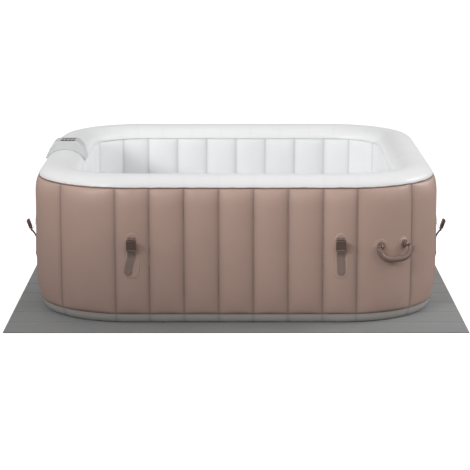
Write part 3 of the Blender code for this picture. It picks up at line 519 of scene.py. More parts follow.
# %% [markdown]
# ## Air between two sheets
# Inside the wall a pleated sheet ties each outer seam to the two inner seams beside it. Air pushes the
# vinyl out between the seams, so a panel's section is part of a circle and its ends round off into the
# welds. Where a stretched sheet meets a weld, the spare length gathers into small puckers.
#
# That shape follows a rule, so it is a Geometry Nodes tree. The script makes an even grid with, at each
# point, how far across its panel it is and how far it is from the welds above and below. The tree blows it
# up. Cloth simulation was considered, but these panels are drum tight and hardly differ, and the rule
# gives every one of them a clean seam.

# %% The air tree
CREST_POWER = 0.85
WELD_REACH, WELD_FLAT = 0.030, 0.006
SEAM_REACH, SEAM_FLAT = 0.014, 0.003
SEAM_SHADOW = 0.010


def painted(geometry, material):
    """The end of a geometry tree: real geometry with a material on it."""
    tree = geometry.id_data
    real = add_node(tree, "GeometryNodeRealizeInstances", {"Geometry": out(geometry)})
    return out(add_node(tree, "GeometryNodeSetMaterial", {"Geometry": out(real), "Material": material}))


air_tree, given, result = new_group(
    "air_pressure", "GeometryNodeTree",
    [("Geometry", GEOMETRY, None), ("Crest", FLOAT, 0.024), ("Seam Rise", FLOAT, 0.006),
     ("Foot Round", FLOAT, 0.1), ("Top Round", FLOAT, 0.1), ("Pucker", FLOAT, 0.001),
     ("Pucker Size", FLOAT, 0.02), ("Seam Pucker", FLOAT, 0.001), ("Material", MATERIAL, None)],
    [("Geometry", GEOMETRY)])


def attribute(tree, name, kind="FLOAT"):
    """A value that the script stored on each point."""
    node = add_node(tree, "GeometryNodeInputNamedAttribute", data_type=kind)
    node.inputs["Name"].default_value = name
    return out(node, 0)


def rounding(distance, reach):
    """0 at a weld and 1 beyond its reach, along a quarter of a circle."""
    left = 1.0 - distance.math("DIVIDE", reach, clamp=True)
    return (1.0 - left * left).math("SQRT")


def fade(distance, reach):
    """1 at a seam, dying away over its reach."""
    return (distance / reach * -1.0).math("EXPONENT")


share = attribute(air_tree, "across")
foot, top = attribute(air_tree, "foot"), attribute(air_tree, "top")
crest_shape = (share * (1.0 - share) * 4.0).math("MAXIMUM", 0.0) ** CREST_POWER
filled = rounding(foot, out(given, "Foot Round")) * rounding(top, out(given, "Top Round"))
rise = out(given, "Seam Rise") + (out(given, "Crest") - out(given, "Seam Rise")) * crest_shape
place = out(add_node(air_tree, "GeometryNodeInputPosition"))


def ripple(stretch, seed):
    """Signed noise of the pucker size, stretched along one way."""
    vector = add_node(air_tree, "ShaderNodeVectorMath", {0: place, 1: stretch}, operation="MULTIPLY")
    scale = out(given, "Pucker Size") ** -1.0
    texture = add_node(air_tree, "ShaderNodeTexNoise", {"Vector": out(vector), "W": seed, "Scale": scale,
                                                        "Detail": 1.0}, noise_dimensions="4D")
    return (out(texture, 0) - 0.5) * 2.0


weld_distance = foot.math("MINIMUM", top)
seam_distance = share.math("MINIMUM", 1.0 - share) * attribute(air_tree, "width")
weld_share = fade(weld_distance, WELD_REACH) * (1.0 - fade(weld_distance, WELD_FLAT))
seam_share = fade(seam_distance, SEAM_REACH) * (1.0 - fade(seam_distance, SEAM_FLAT))
weld_pucker = ripple((1.0, 1.0, 0.2), 1.0) * weld_share
seam_pucker = ripple((0.2, 0.2, 1.0), 2.0) * seam_share
height = rise * filled + weld_pucker * out(given, "Pucker") + seam_pucker * out(given, "Seam Pucker")
outward_way = attribute(air_tree, "outward", "FLOAT_VECTOR")
push = add_node(air_tree, "ShaderNodeVectorMath", {0: outward_way, "Scale": height}, operation="SCALE")
blown = add_node(air_tree, "GeometryNodeSetPosition",
                 {"Geometry": out(given, "Geometry"), "Offset": out(push)})
# The seam mark, strongest in a seam's fold and at the welds, becomes painted shade in the seam_shade group.
mark = add_node(air_tree, "GeometryNodeStoreNamedAttribute", data_type="FLOAT", domain="POINT")
mark.inputs["Name"].default_value = "seam"
feed(mark.inputs["Geometry"], out(blown))
seam_shade_mask = fade(seam_distance, SEAM_SHADOW) * 0.6 + fade(seam_distance, SEAM_FLAT) * 0.4
feed(mark.inputs["Value"], seam_shade_mask.math("MAXIMUM", fade(weld_distance, SEAM_FLAT)))
feed(result.inputs["Geometry"], painted(mark, out(given, "Material")))
print("air tree:", len(air_tree.nodes), "nodes")

# %% [markdown]
# ## Finishing a piece
# A modifier is worked out again each time the scene changes, and it would not travel with the finished
# model. So every piece here is settled: its modifiers are worked out once and become its mesh. A sheet
# then gets its thickness, and a moulded part gets shading that leaves its flat faces flat.

# %% Helpers that finish a piece
def settle(obj):
    """Bakes an object's modifiers and its place into its mesh."""
    bpy.context.view_layer.update()
    graph = bpy.context.evaluated_depsgraph_get()
    mesh = bpy.data.meshes.new_from_object(obj.evaluated_get(graph), preserve_all_data_layers=True,
                                           depsgraph=graph)
    mesh.transform(obj.matrix_world)
    if obj.type == "MESH":
        obj.modifiers.clear()
        obj.data = mesh
        obj.matrix_world = Matrix()
        return obj
    name, obj.name = obj.name, obj.name + "_guide"
    bpy.data.objects.remove(obj)
    return link(bpy.data.objects.new(name, mesh))


def link(obj):
    """Puts an object in the scene."""
    bpy.context.scene.collection.objects.link(obj)
    return obj


def run_tree(obj, tree, **values):
    """Adds a geometry tree to an object, gives it its inputs and bakes the result."""
    modifier = obj.modifiers.new(tree.name, "NODES")
    modifier.node_group = tree
    sockets = {item.name: item.identifier for item in tree.interface.items_tree if item.in_out == "INPUT"}
    for name, value in values.items():
        modifier[sockets[name.replace("_", " ")]] = value
    return settle(obj)


def thicken(obj, thickness):
    """Gives a sheet its thickness, on the side away from the viewer."""
    solid = obj.modifiers.new("thickness", "SOLIDIFY")
    solid.thickness = thickness
    solid.offset = -1.0
    return settle(obj)


def smooth(obj, angle=40):
    """Shades a piece smooth, except over edges sharper than an angle in degrees."""
    obj.data.shade_smooth()
    obj.data.set_sharp_from_angle(angle=math.radians(angle))
    return obj


def even_shading(obj):
    """Lets a part's large faces set its shading, so that a flat face looks flat up to its round edge."""
    weighted = obj.modifiers.new("shading", "WEIGHTED_NORMAL")
    weighted.keep_sharp = True
    return settle(obj)


def stand_for(piece, nodes, body="tub"):
    """Hides the working parts that a piece replaces, and attaches it to what it rides on."""
    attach(piece, body)
    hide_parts(*nodes)
    return piece


print("helpers: settle, run_tree, thicken, smooth, even_shading and stand_for")

# %% [markdown]
# ## Grids for the trees to work on
# A tree can only move the points that it is given. Each skin starts as a band of even columns and rows
# round the ring, drawn closer together near the seams and welds, where the puckers are small. Every point
# stores its share of the way across its panel, its distance from both welds, and which way is out.

# %% Grids round the ring
EASE = 0.5


def eased(share):
    """Even steps drawn towards both ends, where the puckers are."""
    return (1 - EASE) * share + EASE * (0.5 - 0.5 * math.cos(math.pi * share))


def ring_columns(seam_list, parts):
    """(distance, share across the panel, panel width), with more columns on a wide panel."""
    columns = []
    for here, there in zip(seam_list, seam_list[1:] + [seam_list[0] + RING_LENGTH]):
        count = round(parts * (there - here) / PANEL_PITCH)
        for k in range(count):
            share = eased(k / count)
            columns.append((here + share * (there - here), share, there - here))
    return columns


def halfway(here, there):
    """The distance halfway from one column to the next."""
    return (here + 0.5 * ((there - here) % RING_LENGTH)) % RING_LENGTH


def ring_grid(name, columns, rows, skip=lambda length, height: False):
    """An open band round the ring. A row is (depth, height, outward part, upward part, foot, top)."""
    mesh = bpy.data.meshes.new(name)
    points, outward = [], []
    for length, _, _ in columns:
        normal = Matrix.Rotation(ring_turn(length), 3, "Z") @ Vector((0, -1, 0))
        for depth, height, level, upward, _, _ in rows:
            points.append(ring_point(length, depth) + Vector((0, 0, height)))
            outward += [*(normal * level)[:2], upward]
    faces = []
    turn = 1 if rows[0][2] + rows[len(rows) // 2][2] >= 0 else -1
    for i in range(len(columns)):
        ahead = (i + 1) % len(columns)
        for j in range(len(rows) - 1):
            if skip(halfway(columns[i][0], columns[ahead][0]), 0.5 * (rows[j][1] + rows[j + 1][1])):
                continue
            here, there = i * len(rows) + j, ahead * len(rows) + j
            faces.append([here, there, there + 1, here + 1][::turn])
    mesh.from_pydata(points, [], faces)
    data = {"across": [c[1] for c in columns for _ in rows], "width": [c[2] for c in columns for _ in rows],
            "foot": [r[4] for _ in columns for r in rows], "top": [r[5] for _ in columns for r in rows]}
    for label, values in data.items():
        mesh.attributes.new(label, "FLOAT", "POINT").data.foreach_set("value", values)
    mesh.attributes.new("outward", "FLOAT_VECTOR", "POINT").data.foreach_set("vector", outward)
    return link(bpy.data.objects.new(name, mesh))


def wall_rows(depth, low, high, level, count):
    """Rows of an upright wall, closer together near its two welds."""
    rows = []
    for k in range(count + 1):
        height = low + eased(k / count) * (high - low)
        rows.append((depth, height, level, 0.0, height - low, high - height))
    return rows


print("columns round the outer wall:", len(ring_columns(OUTER_SEAMS, 16)))

# %% [markdown]
# ## The outer wall
# Brown vinyl in tall panels, seven to a side, and a wide panel each side of the seam on every corner. It
# could be modelled panel by panel, but all the panels follow one rule, so the tree makes them together. It
# has a window for the service cover and round holes for the valve and the drain. Their flanges cover the
# ragged edge, as they do on the real wall, so the grid just leaves those faces out.

# %% Outer wall
BAND_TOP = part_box("outer_wall")[0].z
WALL_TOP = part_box("outer_wall")[1].z
SHEET = 0.0012
OUTER_FOOT_ROUND, OUTER_TOP_ROUND = 0.12, 0.085
VALVE_HOLE, DRAIN_HOLE = 0.021, 0.017
SERVICE_HEIGHT, SERVICE_REACH, SERVICE_RISE = 0.31, 0.171, 0.211


def near(length, height, side, along, middle, reach, rise):
    """Whether a point of the ring is inside a window or a hole."""
    offset = (length - side * SIDE_LENGTH - along + RING_LENGTH / 2) % RING_LENGTH - RING_LENGTH / 2
    return abs(offset) < reach and abs(height - middle) < rise


VALVE_SPOT = (LEFT, -2 * PANEL_PITCH, 0.33)
DRAIN_SPOT = (BACK, 0.038, 0.12)


def outer_opening(length, height):
    """Whether the outer wall is open at a point."""
    return (near(length, height, LEFT, 0.0, SERVICE_HEIGHT, SERVICE_REACH, SERVICE_RISE)
            or near(length, height, *VALVE_SPOT, VALVE_HOLE, VALVE_HOLE)
            or near(length, height, *DRAIN_SPOT, DRAIN_HOLE, DRAIN_HOLE))


outer_skin = ring_grid("outer_wall_skin", ring_columns(OUTER_SEAMS, 16),
                       wall_rows(EDGE_INSET, BAND_TOP, WALL_TOP, 1.0, 56), outer_opening)
run_tree(outer_skin, air_tree, Crest=EDGE_INSET, Seam_Rise=EDGE_INSET - SEAM_DIP,
         Foot_Round=OUTER_FOOT_ROUND, Top_Round=OUTER_TOP_ROUND, Pucker=0.0050, Pucker_Size=0.024,
         Seam_Pucker=0.0028, Material=MATERIALS["outer_vinyl"])
thicken(outer_skin, SHEET)
smooth(outer_skin, 60)
stand_for(outer_skin, ["outer_wall"])
print("outer wall:", len(outer_skin.data.polygons), "faces")

# %% [markdown]
# ## The inner wall
# The inside is the same construction in pale vinyl, with its seams half a panel on from the outer ones,
# because the pleated sheet between them runs to and fro. It faces the water, so the tree pushes it the
# other way. Two ports let the water out to the pump and back, and an air port is low down beside them.

# %% Inner wall
INNER_LOW, INNER_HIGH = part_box("inner_wall")[0].z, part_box("inner_wall")[1].z
PORT_HEIGHT, PORT_HOLE = 0.20, 0.024
AIR_PORT = (LEFT, 0.15, 0.028)


def inner_opening(length, height):
    """Whether the inner wall is open at a point."""
    return (near(length, height, LEFT, 0.5 * PANEL_PITCH, PORT_HEIGHT, PORT_HOLE, PORT_HOLE)
            or near(length, height, LEFT, -0.5 * PANEL_PITCH, PORT_HEIGHT, PORT_HOLE, PORT_HOLE)
            or near(length, height, *DRAIN_SPOT, DRAIN_HOLE, DRAIN_HOLE)
            or near(length, height, *AIR_PORT, 0.017, 0.020))


inner_skin = ring_grid("inner_wall_skin", ring_columns(INNER_SEAMS, 14),
                       wall_rows(WALL_THICKNESS - INNER_DIP, INNER_LOW, INNER_HIGH, -1.0, 48), inner_opening)
run_tree(inner_skin, air_tree, Crest=INNER_DIP, Seam_Rise=0.001, Foot_Round=0.06, Top_Round=0.05,
         Pucker=0.0016, Pucker_Size=0.02, Seam_Pucker=0.0010, Material=MATERIALS["inner_vinyl"])
thicken(inner_skin, SHEET)
smooth(inner_skin, 60)
stand_for(inner_skin, ["inner_wall"])
print("inner wall:", len(inner_skin.data.polygons), "faces")

# %% [markdown]
# ## The rim
# One arched sheet joins the two walls. It is wide enough to sit on. Air gives it a half-round section,
# which is a plain formula, so its rows are set out along that arch and the tree only adds the small
# gathers at its two welds.

# %% Rim
# (depth, height) of the rim's two welds
RIM_OUTER = (EDGE_INSET - 0.002, 0.612)
RIM_INNER = (WALL_THICKNESS - INNER_DIP + 0.006, 0.600)
RIM_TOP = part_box("top_rim")[1].z
RIM_MIDDLE = (RIM_OUTER[0] + RIM_INNER[0]) / 2
ARCH_LENGTH = 0.235


def arch_point(share):
    """(depth, height) on the rim's arch, 0 at its outer weld and 1 at its inner one."""
    turn = math.pi * share
    reach = (RIM_INNER[0] - RIM_OUTER[0]) / 2
    base = RIM_OUTER[1] + (RIM_INNER[1] - RIM_OUTER[1]) * share
    rise = RIM_TOP - (RIM_OUTER[1] + RIM_INNER[1]) / 2
    return RIM_MIDDLE - reach * math.cos(turn), base + rise * math.sin(turn)


def rim_rows(count):
    """Rows over the rim, from its outer weld to its inner one."""
    rows = []
    for k in range(count + 1):
        share = k / count
        depth, height = arch_point(share)
        turn = math.pi * share
        welds = (share * ARCH_LENGTH, (1 - share) * ARCH_LENGTH)
        rows.append((depth, height, math.cos(turn), math.sin(turn), *welds))
    return rows


def stem_opening(length, height):
    """Whether the rim is open for the stem of the control panel."""
    return near(length, height, LEFT, 0.03, RIM_TOP, 0.042, 0.006)


rim_skin = ring_grid("top_rim_skin", ring_columns(OUTER_SEAMS, 14), rim_rows(30), stem_opening)
run_tree(rim_skin, air_tree, Crest=0.0, Seam_Rise=0.0, Foot_Round=0.02, Top_Round=0.02,
         Pucker=0.0022, Pucker_Size=0.03, Seam_Pucker=0.0, Material=MATERIALS["white_vinyl"])
thicken(rim_skin, SHEET)
smooth(rim_skin, 60)
stand_for(rim_skin, ["top_rim"])
print("rim:", len(rim_skin.data.polygons), "faces")

# %% [markdown]
# ## Welds
# Where two sheets are welded, the heat leaves a narrow bead. It is never quite straight, because the vinyl
# is pulled by the air on both sides. A curve with a round bevel would be as round but dead straight, so a
# tree turns a line of points into a bead and lets it wander a little.

# %% The weld tree
weld_tree, given, result = new_group(
    "weld_bead", "GeometryNodeTree",
    [("Geometry", GEOMETRY, None), ("Radius", FLOAT, 0.002), ("Wander", FLOAT, 0.001),
     ("Wander Size", FLOAT, 0.05), ("Material", MATERIAL, None)],
    [("Geometry", GEOMETRY)])
line = add_node(weld_tree, "GeometryNodeMeshToCurve", {"Mesh": out(given, "Geometry")})
place = out(add_node(weld_tree, "GeometryNodeInputPosition"))
wander_scale = out(given, "Wander Size") ** -1.0
drift = add_node(weld_tree, "ShaderNodeTexNoise", {"Vector": place, "Scale": wander_scale, "Detail": 2.0},
                 noise_dimensions="3D")
wander = (out(drift, 0) - 0.5) * 2.0 * out(given, "Wander")
upward = add_node(weld_tree, "ShaderNodeCombineXYZ", {"Z": wander})
moved = add_node(weld_tree, "GeometryNodeSetPosition", {"Geometry": out(line), "Offset": out(upward)})
section = add_node(weld_tree, "GeometryNodeCurvePrimitiveCircle",
                   {"Resolution": 8, "Radius": out(given, "Radius")})
bead = add_node(weld_tree, "GeometryNodeCurveToMesh", {"Curve": out(moved), "Profile Curve": out(section)})
feed(result.inputs["Geometry"], painted(bead, out(given, "Material")))


def line_object(name, runs, facing=None):
    """Runs of points as edges. Each run is (points, closed), and facing holds a vector for each point."""
    mesh = bpy.data.meshes.new(name)
    points, edges = [], []
    for run, closed in runs:
        first = len(points)
        points += [tuple(p) for p in run]
        edges += [(first + k, first + k + 1) for k in range(len(run) - 1)]
        if closed:
            edges.append((len(points) - 1, first))
    mesh.from_pydata(points, edges, [])
    if facing:
        mesh.attributes.new("facing", "FLOAT_VECTOR", "POINT").data.foreach_set(
            "vector", [value for vector in facing for value in vector])
    return link(bpy.data.objects.new(name, mesh))


LINE_PARTS = 480


def ring_line(depth, height):
    """Points all round the tub, at one depth and height."""
    rise = Vector((0, 0, height))
    return [ring_point(RING_LENGTH * k / LINE_PARTS, depth) + rise for k in range(LINE_PARTS)]


print("weld tree:", len(weld_tree.nodes), "nodes")

# %% Three welds round the tub
def weld(name, depth, height, radius, wander, material):
    """A bead of welded vinyl all round the tub."""
    bead = line_object(name, [(ring_line(depth, height), True)])
    run_tree(bead, weld_tree, Radius=radius, Wander=wander, Wander_Size=0.045, Material=MATERIALS[material])
    smooth(bead, 180)
    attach(bead, "tub")


MATERIALS["weld_brown"] = vinyl("weld_brown", linear(134, 110, 99), 0.5, grain=0.0008)
weld("rim_weld", RIM_OUTER[0] - 0.0005, WALL_TOP + 0.0005, 0.0030, 0.0032, "weld_brown")
weld("foot_weld", EDGE_INSET, BAND_TOP, 0.0025, 0.0012, "weld_brown")
weld("basin_weld", RIM_INNER[0] + 0.0005, INNER_HIGH, 0.0015, 0.0012, "white_vinyl")

# %% [markdown]
# ## The foot of the tub
# A tougher grey sheet goes round the foot of the wall and turns in under it. Its section is a quarter of a
# circle, so it is a band of rows like the rim, with a few gathers where it meets the wall.

# %% Base band
BASE_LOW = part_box("base_band")[0].z
BAND_DEPTH = 0.026
BAND_ARCH = 0.06


def band_rows(count):
    """Rows from the foot of the wall down and inwards to the ground."""
    rows = []
    for k in range(count + 1):
        turn = math.pi / 2 * k / count
        depth = EDGE_INSET + 0.002 + BAND_DEPTH * (1 - math.sin(turn))
        height = BAND_TOP - (BAND_TOP - BASE_LOW) * math.cos(turn)
        reach = BAND_ARCH * k / count
        rows.append((depth, height, math.sin(turn), -math.cos(turn), reach, BAND_ARCH - reach))
    return rows


band = ring_grid("base_band_skin", ring_columns(OUTER_SEAMS, 14), band_rows(14))
run_tree(band, air_tree, Crest=0.0005, Seam_Rise=0.0, Foot_Round=0.02, Top_Round=0.02, Pucker=0.0018,
         Pucker_Size=0.025, Seam_Pucker=0.0006, Material=MATERIALS["base_vinyl"])
thicken(band, SHEET)
smooth(band, 60)
stand_for(band, ["base_band"])
print("base band:", len(band.data.polygons), "faces")

# %% [markdown]
# ## The floor of the tub
# The floor is a vinyl sheet welded in at the foot of the inner wall, and it lies on the sheet below it. It
# is a touch too large for its place, so it has a few low creases. A cloth simulation of a sheet that lies
# flat moves hardly at all, and ridged noise gives the same creases. They die away towards the weld.

# %% Tub floor
FLOOR_EDGE = 0.195
FLOOR_PARTS, FLOOR_SECTORS = 34, 176
FLAT_ROUNDS = 6
floor_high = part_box("tub_floor")[1]


def floor_liner():
    """A sheet that fills the ring, laid out in smaller and smaller rounds."""
    mesh = bpy.data.meshes.new("tub_floor_liner")
    count = FLOOR_SECTORS
    edge = [ring_point(RING_LENGTH * k / count, FLOOR_EDGE) for k in range(count)]
    points, faces = [], []
    for j in range(FLOOR_PARTS):
        points += [p * (1 - j / FLOOR_PARTS) for p in edge]
    points.append(Vector())
    for j in range(FLOOR_PARTS - 1):
        for i in range(count):
            ahead = (i + 1) % count
            faces.append((j * count + i, j * count + ahead, (j + 1) * count + ahead, (j + 1) * count + i))
    last = (FLOOR_PARTS - 1) * count
    faces += [(last + i, last + (i + 1) % count, len(points) - 1) for i in range(count)]
    mesh.from_pydata([(p.x, p.y, floor_high.z) for p in points], [], faces)
    loose = [min(1.0, j / FLAT_ROUNDS) for j in range(FLOOR_PARTS) for _ in range(count)] + [1.0]
    mesh.attributes.new("loose", "FLOAT", "POINT").data.foreach_set("value", loose)
    return link(bpy.data.objects.new("tub_floor_liner", mesh))


crease_tree, given, result = new_group(
    "floor_creases", "GeometryNodeTree",
    [("Geometry", GEOMETRY, None), ("Height", FLOAT, 0.002), ("Crease Size", FLOAT, 0.18),
     ("Material", MATERIAL, None)],
    [("Geometry", GEOMETRY)])
place = out(add_node(crease_tree, "GeometryNodeInputPosition"))
crease_scale = out(given, "Crease Size") ** -1.0
folds = add_node(crease_tree, "ShaderNodeTexNoise", {"Vector": place, "Scale": crease_scale, "Detail": 1.5},
                 noise_type="RIDGED_MULTIFRACTAL")
lift = add_node(crease_tree, "ShaderNodeCombineXYZ",
                {"Z": out(folds, 0) * out(given, "Height") * attribute(crease_tree, "loose")})
creased = add_node(crease_tree, "GeometryNodeSetPosition",
                   {"Geometry": out(given, "Geometry"), "Offset": out(lift)})
feed(result.inputs["Geometry"], painted(creased, out(given, "Material")))

liner = floor_liner()
run_tree(liner, crease_tree, Height=0.0016, Crease_Size=0.16, Material=MATERIALS["inner_vinyl"])
thicken(liner, SHEET)
smooth(liner, 60)
stand_for(liner, ["tub_floor"])
liner_side = 2 * (HALF - FLOOR_EDGE)
liner_area = liner_side ** 2 - (4 - math.pi) * (CORNER_RADIUS - FLOOR_EDGE) ** 2
print("floor liner:", round(liner_area, 2), "square metres")

# %% [markdown]
# ## The air channel
# A strip of vinyl is welded into the corner between the inner wall and the floor. The blower
# fills it with air, which leaves it through a row of small holes as bubbles. It is one more band of rows,
# a quarter of an oval with a short upright foot.

# %% Air channel
AIR_LOW, AIR_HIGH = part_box("air_ring")[0].z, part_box("air_ring")[1].z
AIR_START = WALL_THICKNESS + 0.0005
AIR_REACH = 0.034
AIR_FOOT = 0.012


def air_rows(count):
    """Rows from the top of the channel, over its round and down to the floor."""
    rows = []
    for k in range(count + 1):
        turn = math.pi / 2 * k / count
        depth = AIR_START + AIR_REACH * math.sin(turn)
        height = AIR_LOW + AIR_FOOT + (AIR_HIGH - AIR_LOW - AIR_FOOT) * math.cos(turn)
        rows.append((depth, height, -math.sin(turn), math.cos(turn), 0.02 + 0.05 * k / count, 0.07))
    rows.append((AIR_START + AIR_REACH, AIR_LOW, -1.0, 0.0, 0.08, 0.07))
    return rows


air_skin = ring_grid("air_ring_skin", ring_columns(INNER_SEAMS, 10), air_rows(10)[::-1])
run_tree(air_skin, air_tree, Crest=0.0, Seam_Rise=0.0, Pucker=0.0008, Pucker_Size=0.02, Seam_Pucker=0.0006,
         Material=MATERIALS["inner_vinyl"])
thicken(air_skin, SHEET)
smooth(air_skin, 60)
stand_for(air_skin, ["air_ring"])
print("air channel:", len(air_skin.data.polygons), "faces")

# %% [markdown]
# ## The mat
# The mat under the tub is a thin printed sheet with pressed lines that divide it into planks. It lies flat
# on the floor, so there is nothing for a simulation to do. The lines could be bump in the material, but
# then their edges would not catch the light at a low angle, so a tree presses a real groove at every
# plank's edge.

# %% Ground mat
mat_low, mat_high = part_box("ground_mat")
MAT_WIDTH, MAT_LENGTH = mat_high.x - mat_low.x, mat_high.y - mat_low.y
PLANKS = 11
PLANK = MAT_LENGTH / PLANKS
MAT_COLUMNS = 24
MAT_UNDERSIDE = 0.0004
MAT_LIFT = 0.0001

plank_tree, given, result = new_group(
    "plank_grooves", "GeometryNodeTree",
    [("Geometry", GEOMETRY, None), ("Plank Width", FLOAT, 0.19), ("Groove Width", FLOAT, 0.006),
     ("Groove Depth", FLOAT, 0.001), ("Material", MATERIAL, None)],
    [("Geometry", GEOMETRY)])
position = out(add_node(plank_tree, "GeometryNodeInputPosition"))
place = add_node(plank_tree, "ShaderNodeSeparateXYZ", {0: position})
across = (out(place, "Y") - mat_low.y) / out(given, "Plank Width")
to_line = (across - across.math("ROUND")).math("ABSOLUTE") * out(given, "Plank Width")
groove = (1.0 - to_line / out(given, "Groove Width") * 2.0).math("MAXIMUM", 0.0)
press = add_node(plank_tree, "ShaderNodeCombineXYZ", {"Z": groove * out(given, "Groove Depth") * -1.0})
pressed = add_node(plank_tree, "GeometryNodeSetPosition",
                   {"Geometry": out(given, "Geometry"), "Offset": out(press)})
# The groove is also stored as seam, which the mat's material turns into painted shade.
mark = add_node(plank_tree, "GeometryNodeStoreNamedAttribute", data_type="FLOAT", domain="POINT")
mark.inputs["Name"].default_value = "seam"
feed(mark.inputs["Geometry"], out(pressed))
feed(mark.inputs["Value"], groove)
feed(result.inputs["Geometry"], painted(mark, out(given, "Material")))


def mat_grid():
    """A flat grid with rows close together at the plank lines."""
    rows = [0.0]
    for k in range(PLANKS):
        for step in (0.002, 0.004, PLANK / 4, PLANK / 2, 3 * PLANK / 4, PLANK - 0.004, PLANK - 0.002, PLANK):
            rows.append(k * PLANK + step)
    columns = [MAT_WIDTH * k / MAT_COLUMNS for k in range(MAT_COLUMNS + 1)]
    mesh = bpy.data.meshes.new("ground_mat_sheet")
    points = [(mat_low.x + x, mat_low.y + y, mat_high.z) for x in columns for y in rows]
    faces = [(i * len(rows) + j, (i + 1) * len(rows) + j, (i + 1) * len(rows) + j + 1, i * len(rows) + j + 1)
             for i in range(MAT_COLUMNS) for j in range(len(rows) - 1)]
    mesh.from_pydata(points, [], faces)
    return link(bpy.data.objects.new("ground_mat_sheet", mesh))


ground = mat_grid()
run_tree(ground, plank_tree, Plank_Width=PLANK, Groove_Width=0.006, Groove_Depth=0.0012,
         Material=MATERIALS["ground_mat"])
thicken(ground, mat_high.z - mat_low.z - MAT_LIFT)
for vertex in ground.data.vertices:
    if vertex.co.z < MAT_UNDERSIDE:
        vertex.co.z = MAT_LIFT
stand_for(ground, ["ground_mat"])
print("mat:", round(MAT_WIDTH, 2), "by", round(MAT_LENGTH, 2), "m,", PLANKS, "planks")

# %% [markdown]
# ## Repeats along a line
# Stitches, screws, eyelets and the ridges on a cap are all one small shape set again and again along a
# line. One tree does them all: it spaces points along the line, turns the shape to follow it, and faces it
# outwards.

# %% The repeat tree
repeat_tree, given, result = new_group(
    "repeat_along", "GeometryNodeTree",
    [("Geometry", GEOMETRY, None), ("Shape", "NodeSocketObject", None), ("Spacing", FLOAT, 0.004),
     ("Material", MATERIAL, None)],
    [("Geometry", GEOMETRY)])
line = add_node(repeat_tree, "GeometryNodeMeshToCurve", {"Mesh": out(given, "Geometry")})
spaced = add_node(repeat_tree, "GeometryNodeResampleCurve",
                  {"Curve": out(line), "Length": out(given, "Spacing")}, mode="LENGTH")
shape = add_node(repeat_tree, "GeometryNodeObjectInfo", {"Object": out(given, "Shape")})
tangent = out(add_node(repeat_tree, "GeometryNodeInputTangent"))
ahead = add_node(repeat_tree, "FunctionNodeAlignRotationToVector", {"Vector": tangent}, axis="X")
turned = add_node(repeat_tree, "FunctionNodeAlignRotationToVector",
                  {"Rotation": out(ahead), "Vector": attribute(repeat_tree, "facing", "FLOAT_VECTOR")},
                  axis="Z", pivot_axis="X")
copies = add_node(repeat_tree, "GeometryNodeInstanceOnPoints",
                  {"Points": out(spaced), "Instance": out(shape, "Geometry"), "Rotation": out(turned)})
feed(result.inputs["Geometry"], painted(copies, out(given, "Material")))


def turned_mesh(name, profile, sides, closed=False):
    """A profile of (radius, height) points turned about Z, as a bare object."""
    bm = bmesh.new()
    rings = []
    for radius, height in profile:
        if radius == 0:
            rings.append([bm.verts.new((0, 0, height))] * sides)
        else:
            turns = [2 * math.pi * k / sides for k in range(sides)]
            rings.append([bm.verts.new((radius * math.cos(a), radius * math.sin(a), height)) for a in turns])
    pairs = list(zip(rings, rings[1:]))
    if closed:
        pairs.append((rings[-1], rings[0]))
    for first, second in pairs:
        for k in range(sides):
            corners = dict.fromkeys((first[k], first[(k + 1) % sides], second[(k + 1) % sides], second[k]))
            if len(corners) > 2:
                bm.faces.new(list(corners))
    bmesh.ops.recalc_face_normals(bm, faces=bm.faces)
    mesh = bpy.data.meshes.new(name)
    bm.to_mesh(mesh)
    bm.free()
    return link(bpy.data.objects.new(name, mesh))


def repeat(name, runs, facing, shape, spacing, material, body="tub"):
    """A small shape set along runs of points, as one piece. The shape itself is thrown away."""
    piece = line_object(name, runs, facing)
    run_tree(piece, repeat_tree, Shape=shape, Spacing=spacing, Material=MATERIALS[material])
    bpy.data.objects.remove(shape)
    smooth(piece, 40)
    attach(piece, body)
    return piece


print("repeat tree:", len(repeat_tree.nodes), "nodes")

# %% [markdown]
# ## Bubble holes
# Each hole of the air channel is lined with a small moulded eyelet, or the vinyl would tear. An eyelet is
# a profile turned round its axis. They sit part of the way down the channel's round and face up and
# inwards.

# %% Bubble holes
HOLE_SPACING = 0.045
EYELET_ANGLE = math.radians(40)
eyelet_depth = AIR_START + AIR_REACH * math.sin(EYELET_ANGLE)
eyelet_height = AIR_LOW + AIR_FOOT + (AIR_HIGH - AIR_LOW - AIR_FOOT) * math.cos(EYELET_ANGLE)
eyelet_line = ring_line(eyelet_depth, eyelet_height)
eyelet_facing = []
for k in range(len(eyelet_line)):
    inward = Matrix.Rotation(ring_turn(RING_LENGTH * k / len(eyelet_line)), 3, "Z") @ Vector((0, 1, 0))
    eyelet_facing.append(inward * math.sin(EYELET_ANGLE) + Vector((0, 0, math.cos(EYELET_ANGLE))))
eyelet_profile = [(0, 0.0002), (0.0016, 0.0002), (0.0018, 0.0012), (0.0034, 0.0012), (0.0042, -0.0004)]
eyelet = turned_mesh("eyelet", eyelet_profile, 12)
eyelets = repeat("bubble_eyelets", [(eyelet_line, True)], eyelet_facing, eyelet, HOLE_SPACING,
                 "panel_plastic")
print("bubble holes:", len(eyelets.data.polygons), "faces")

# %% [markdown]
# ## Fitting things to a curved wall
# Buckles and handles sit on patches that are welded to the wall. A patch has to follow the panel below it,
# so the script needs the panel's depth at any point. This is the same rule that the air tree used, as a
# function.

# %% The wall's depth at a point
def quarter_round(distance, reach):
    """0 at a weld and 1 beyond its reach, as in the air tree."""
    left = 1 - min(max(distance / reach, 0.0), 1.0)
    return math.sqrt(1 - left * left)


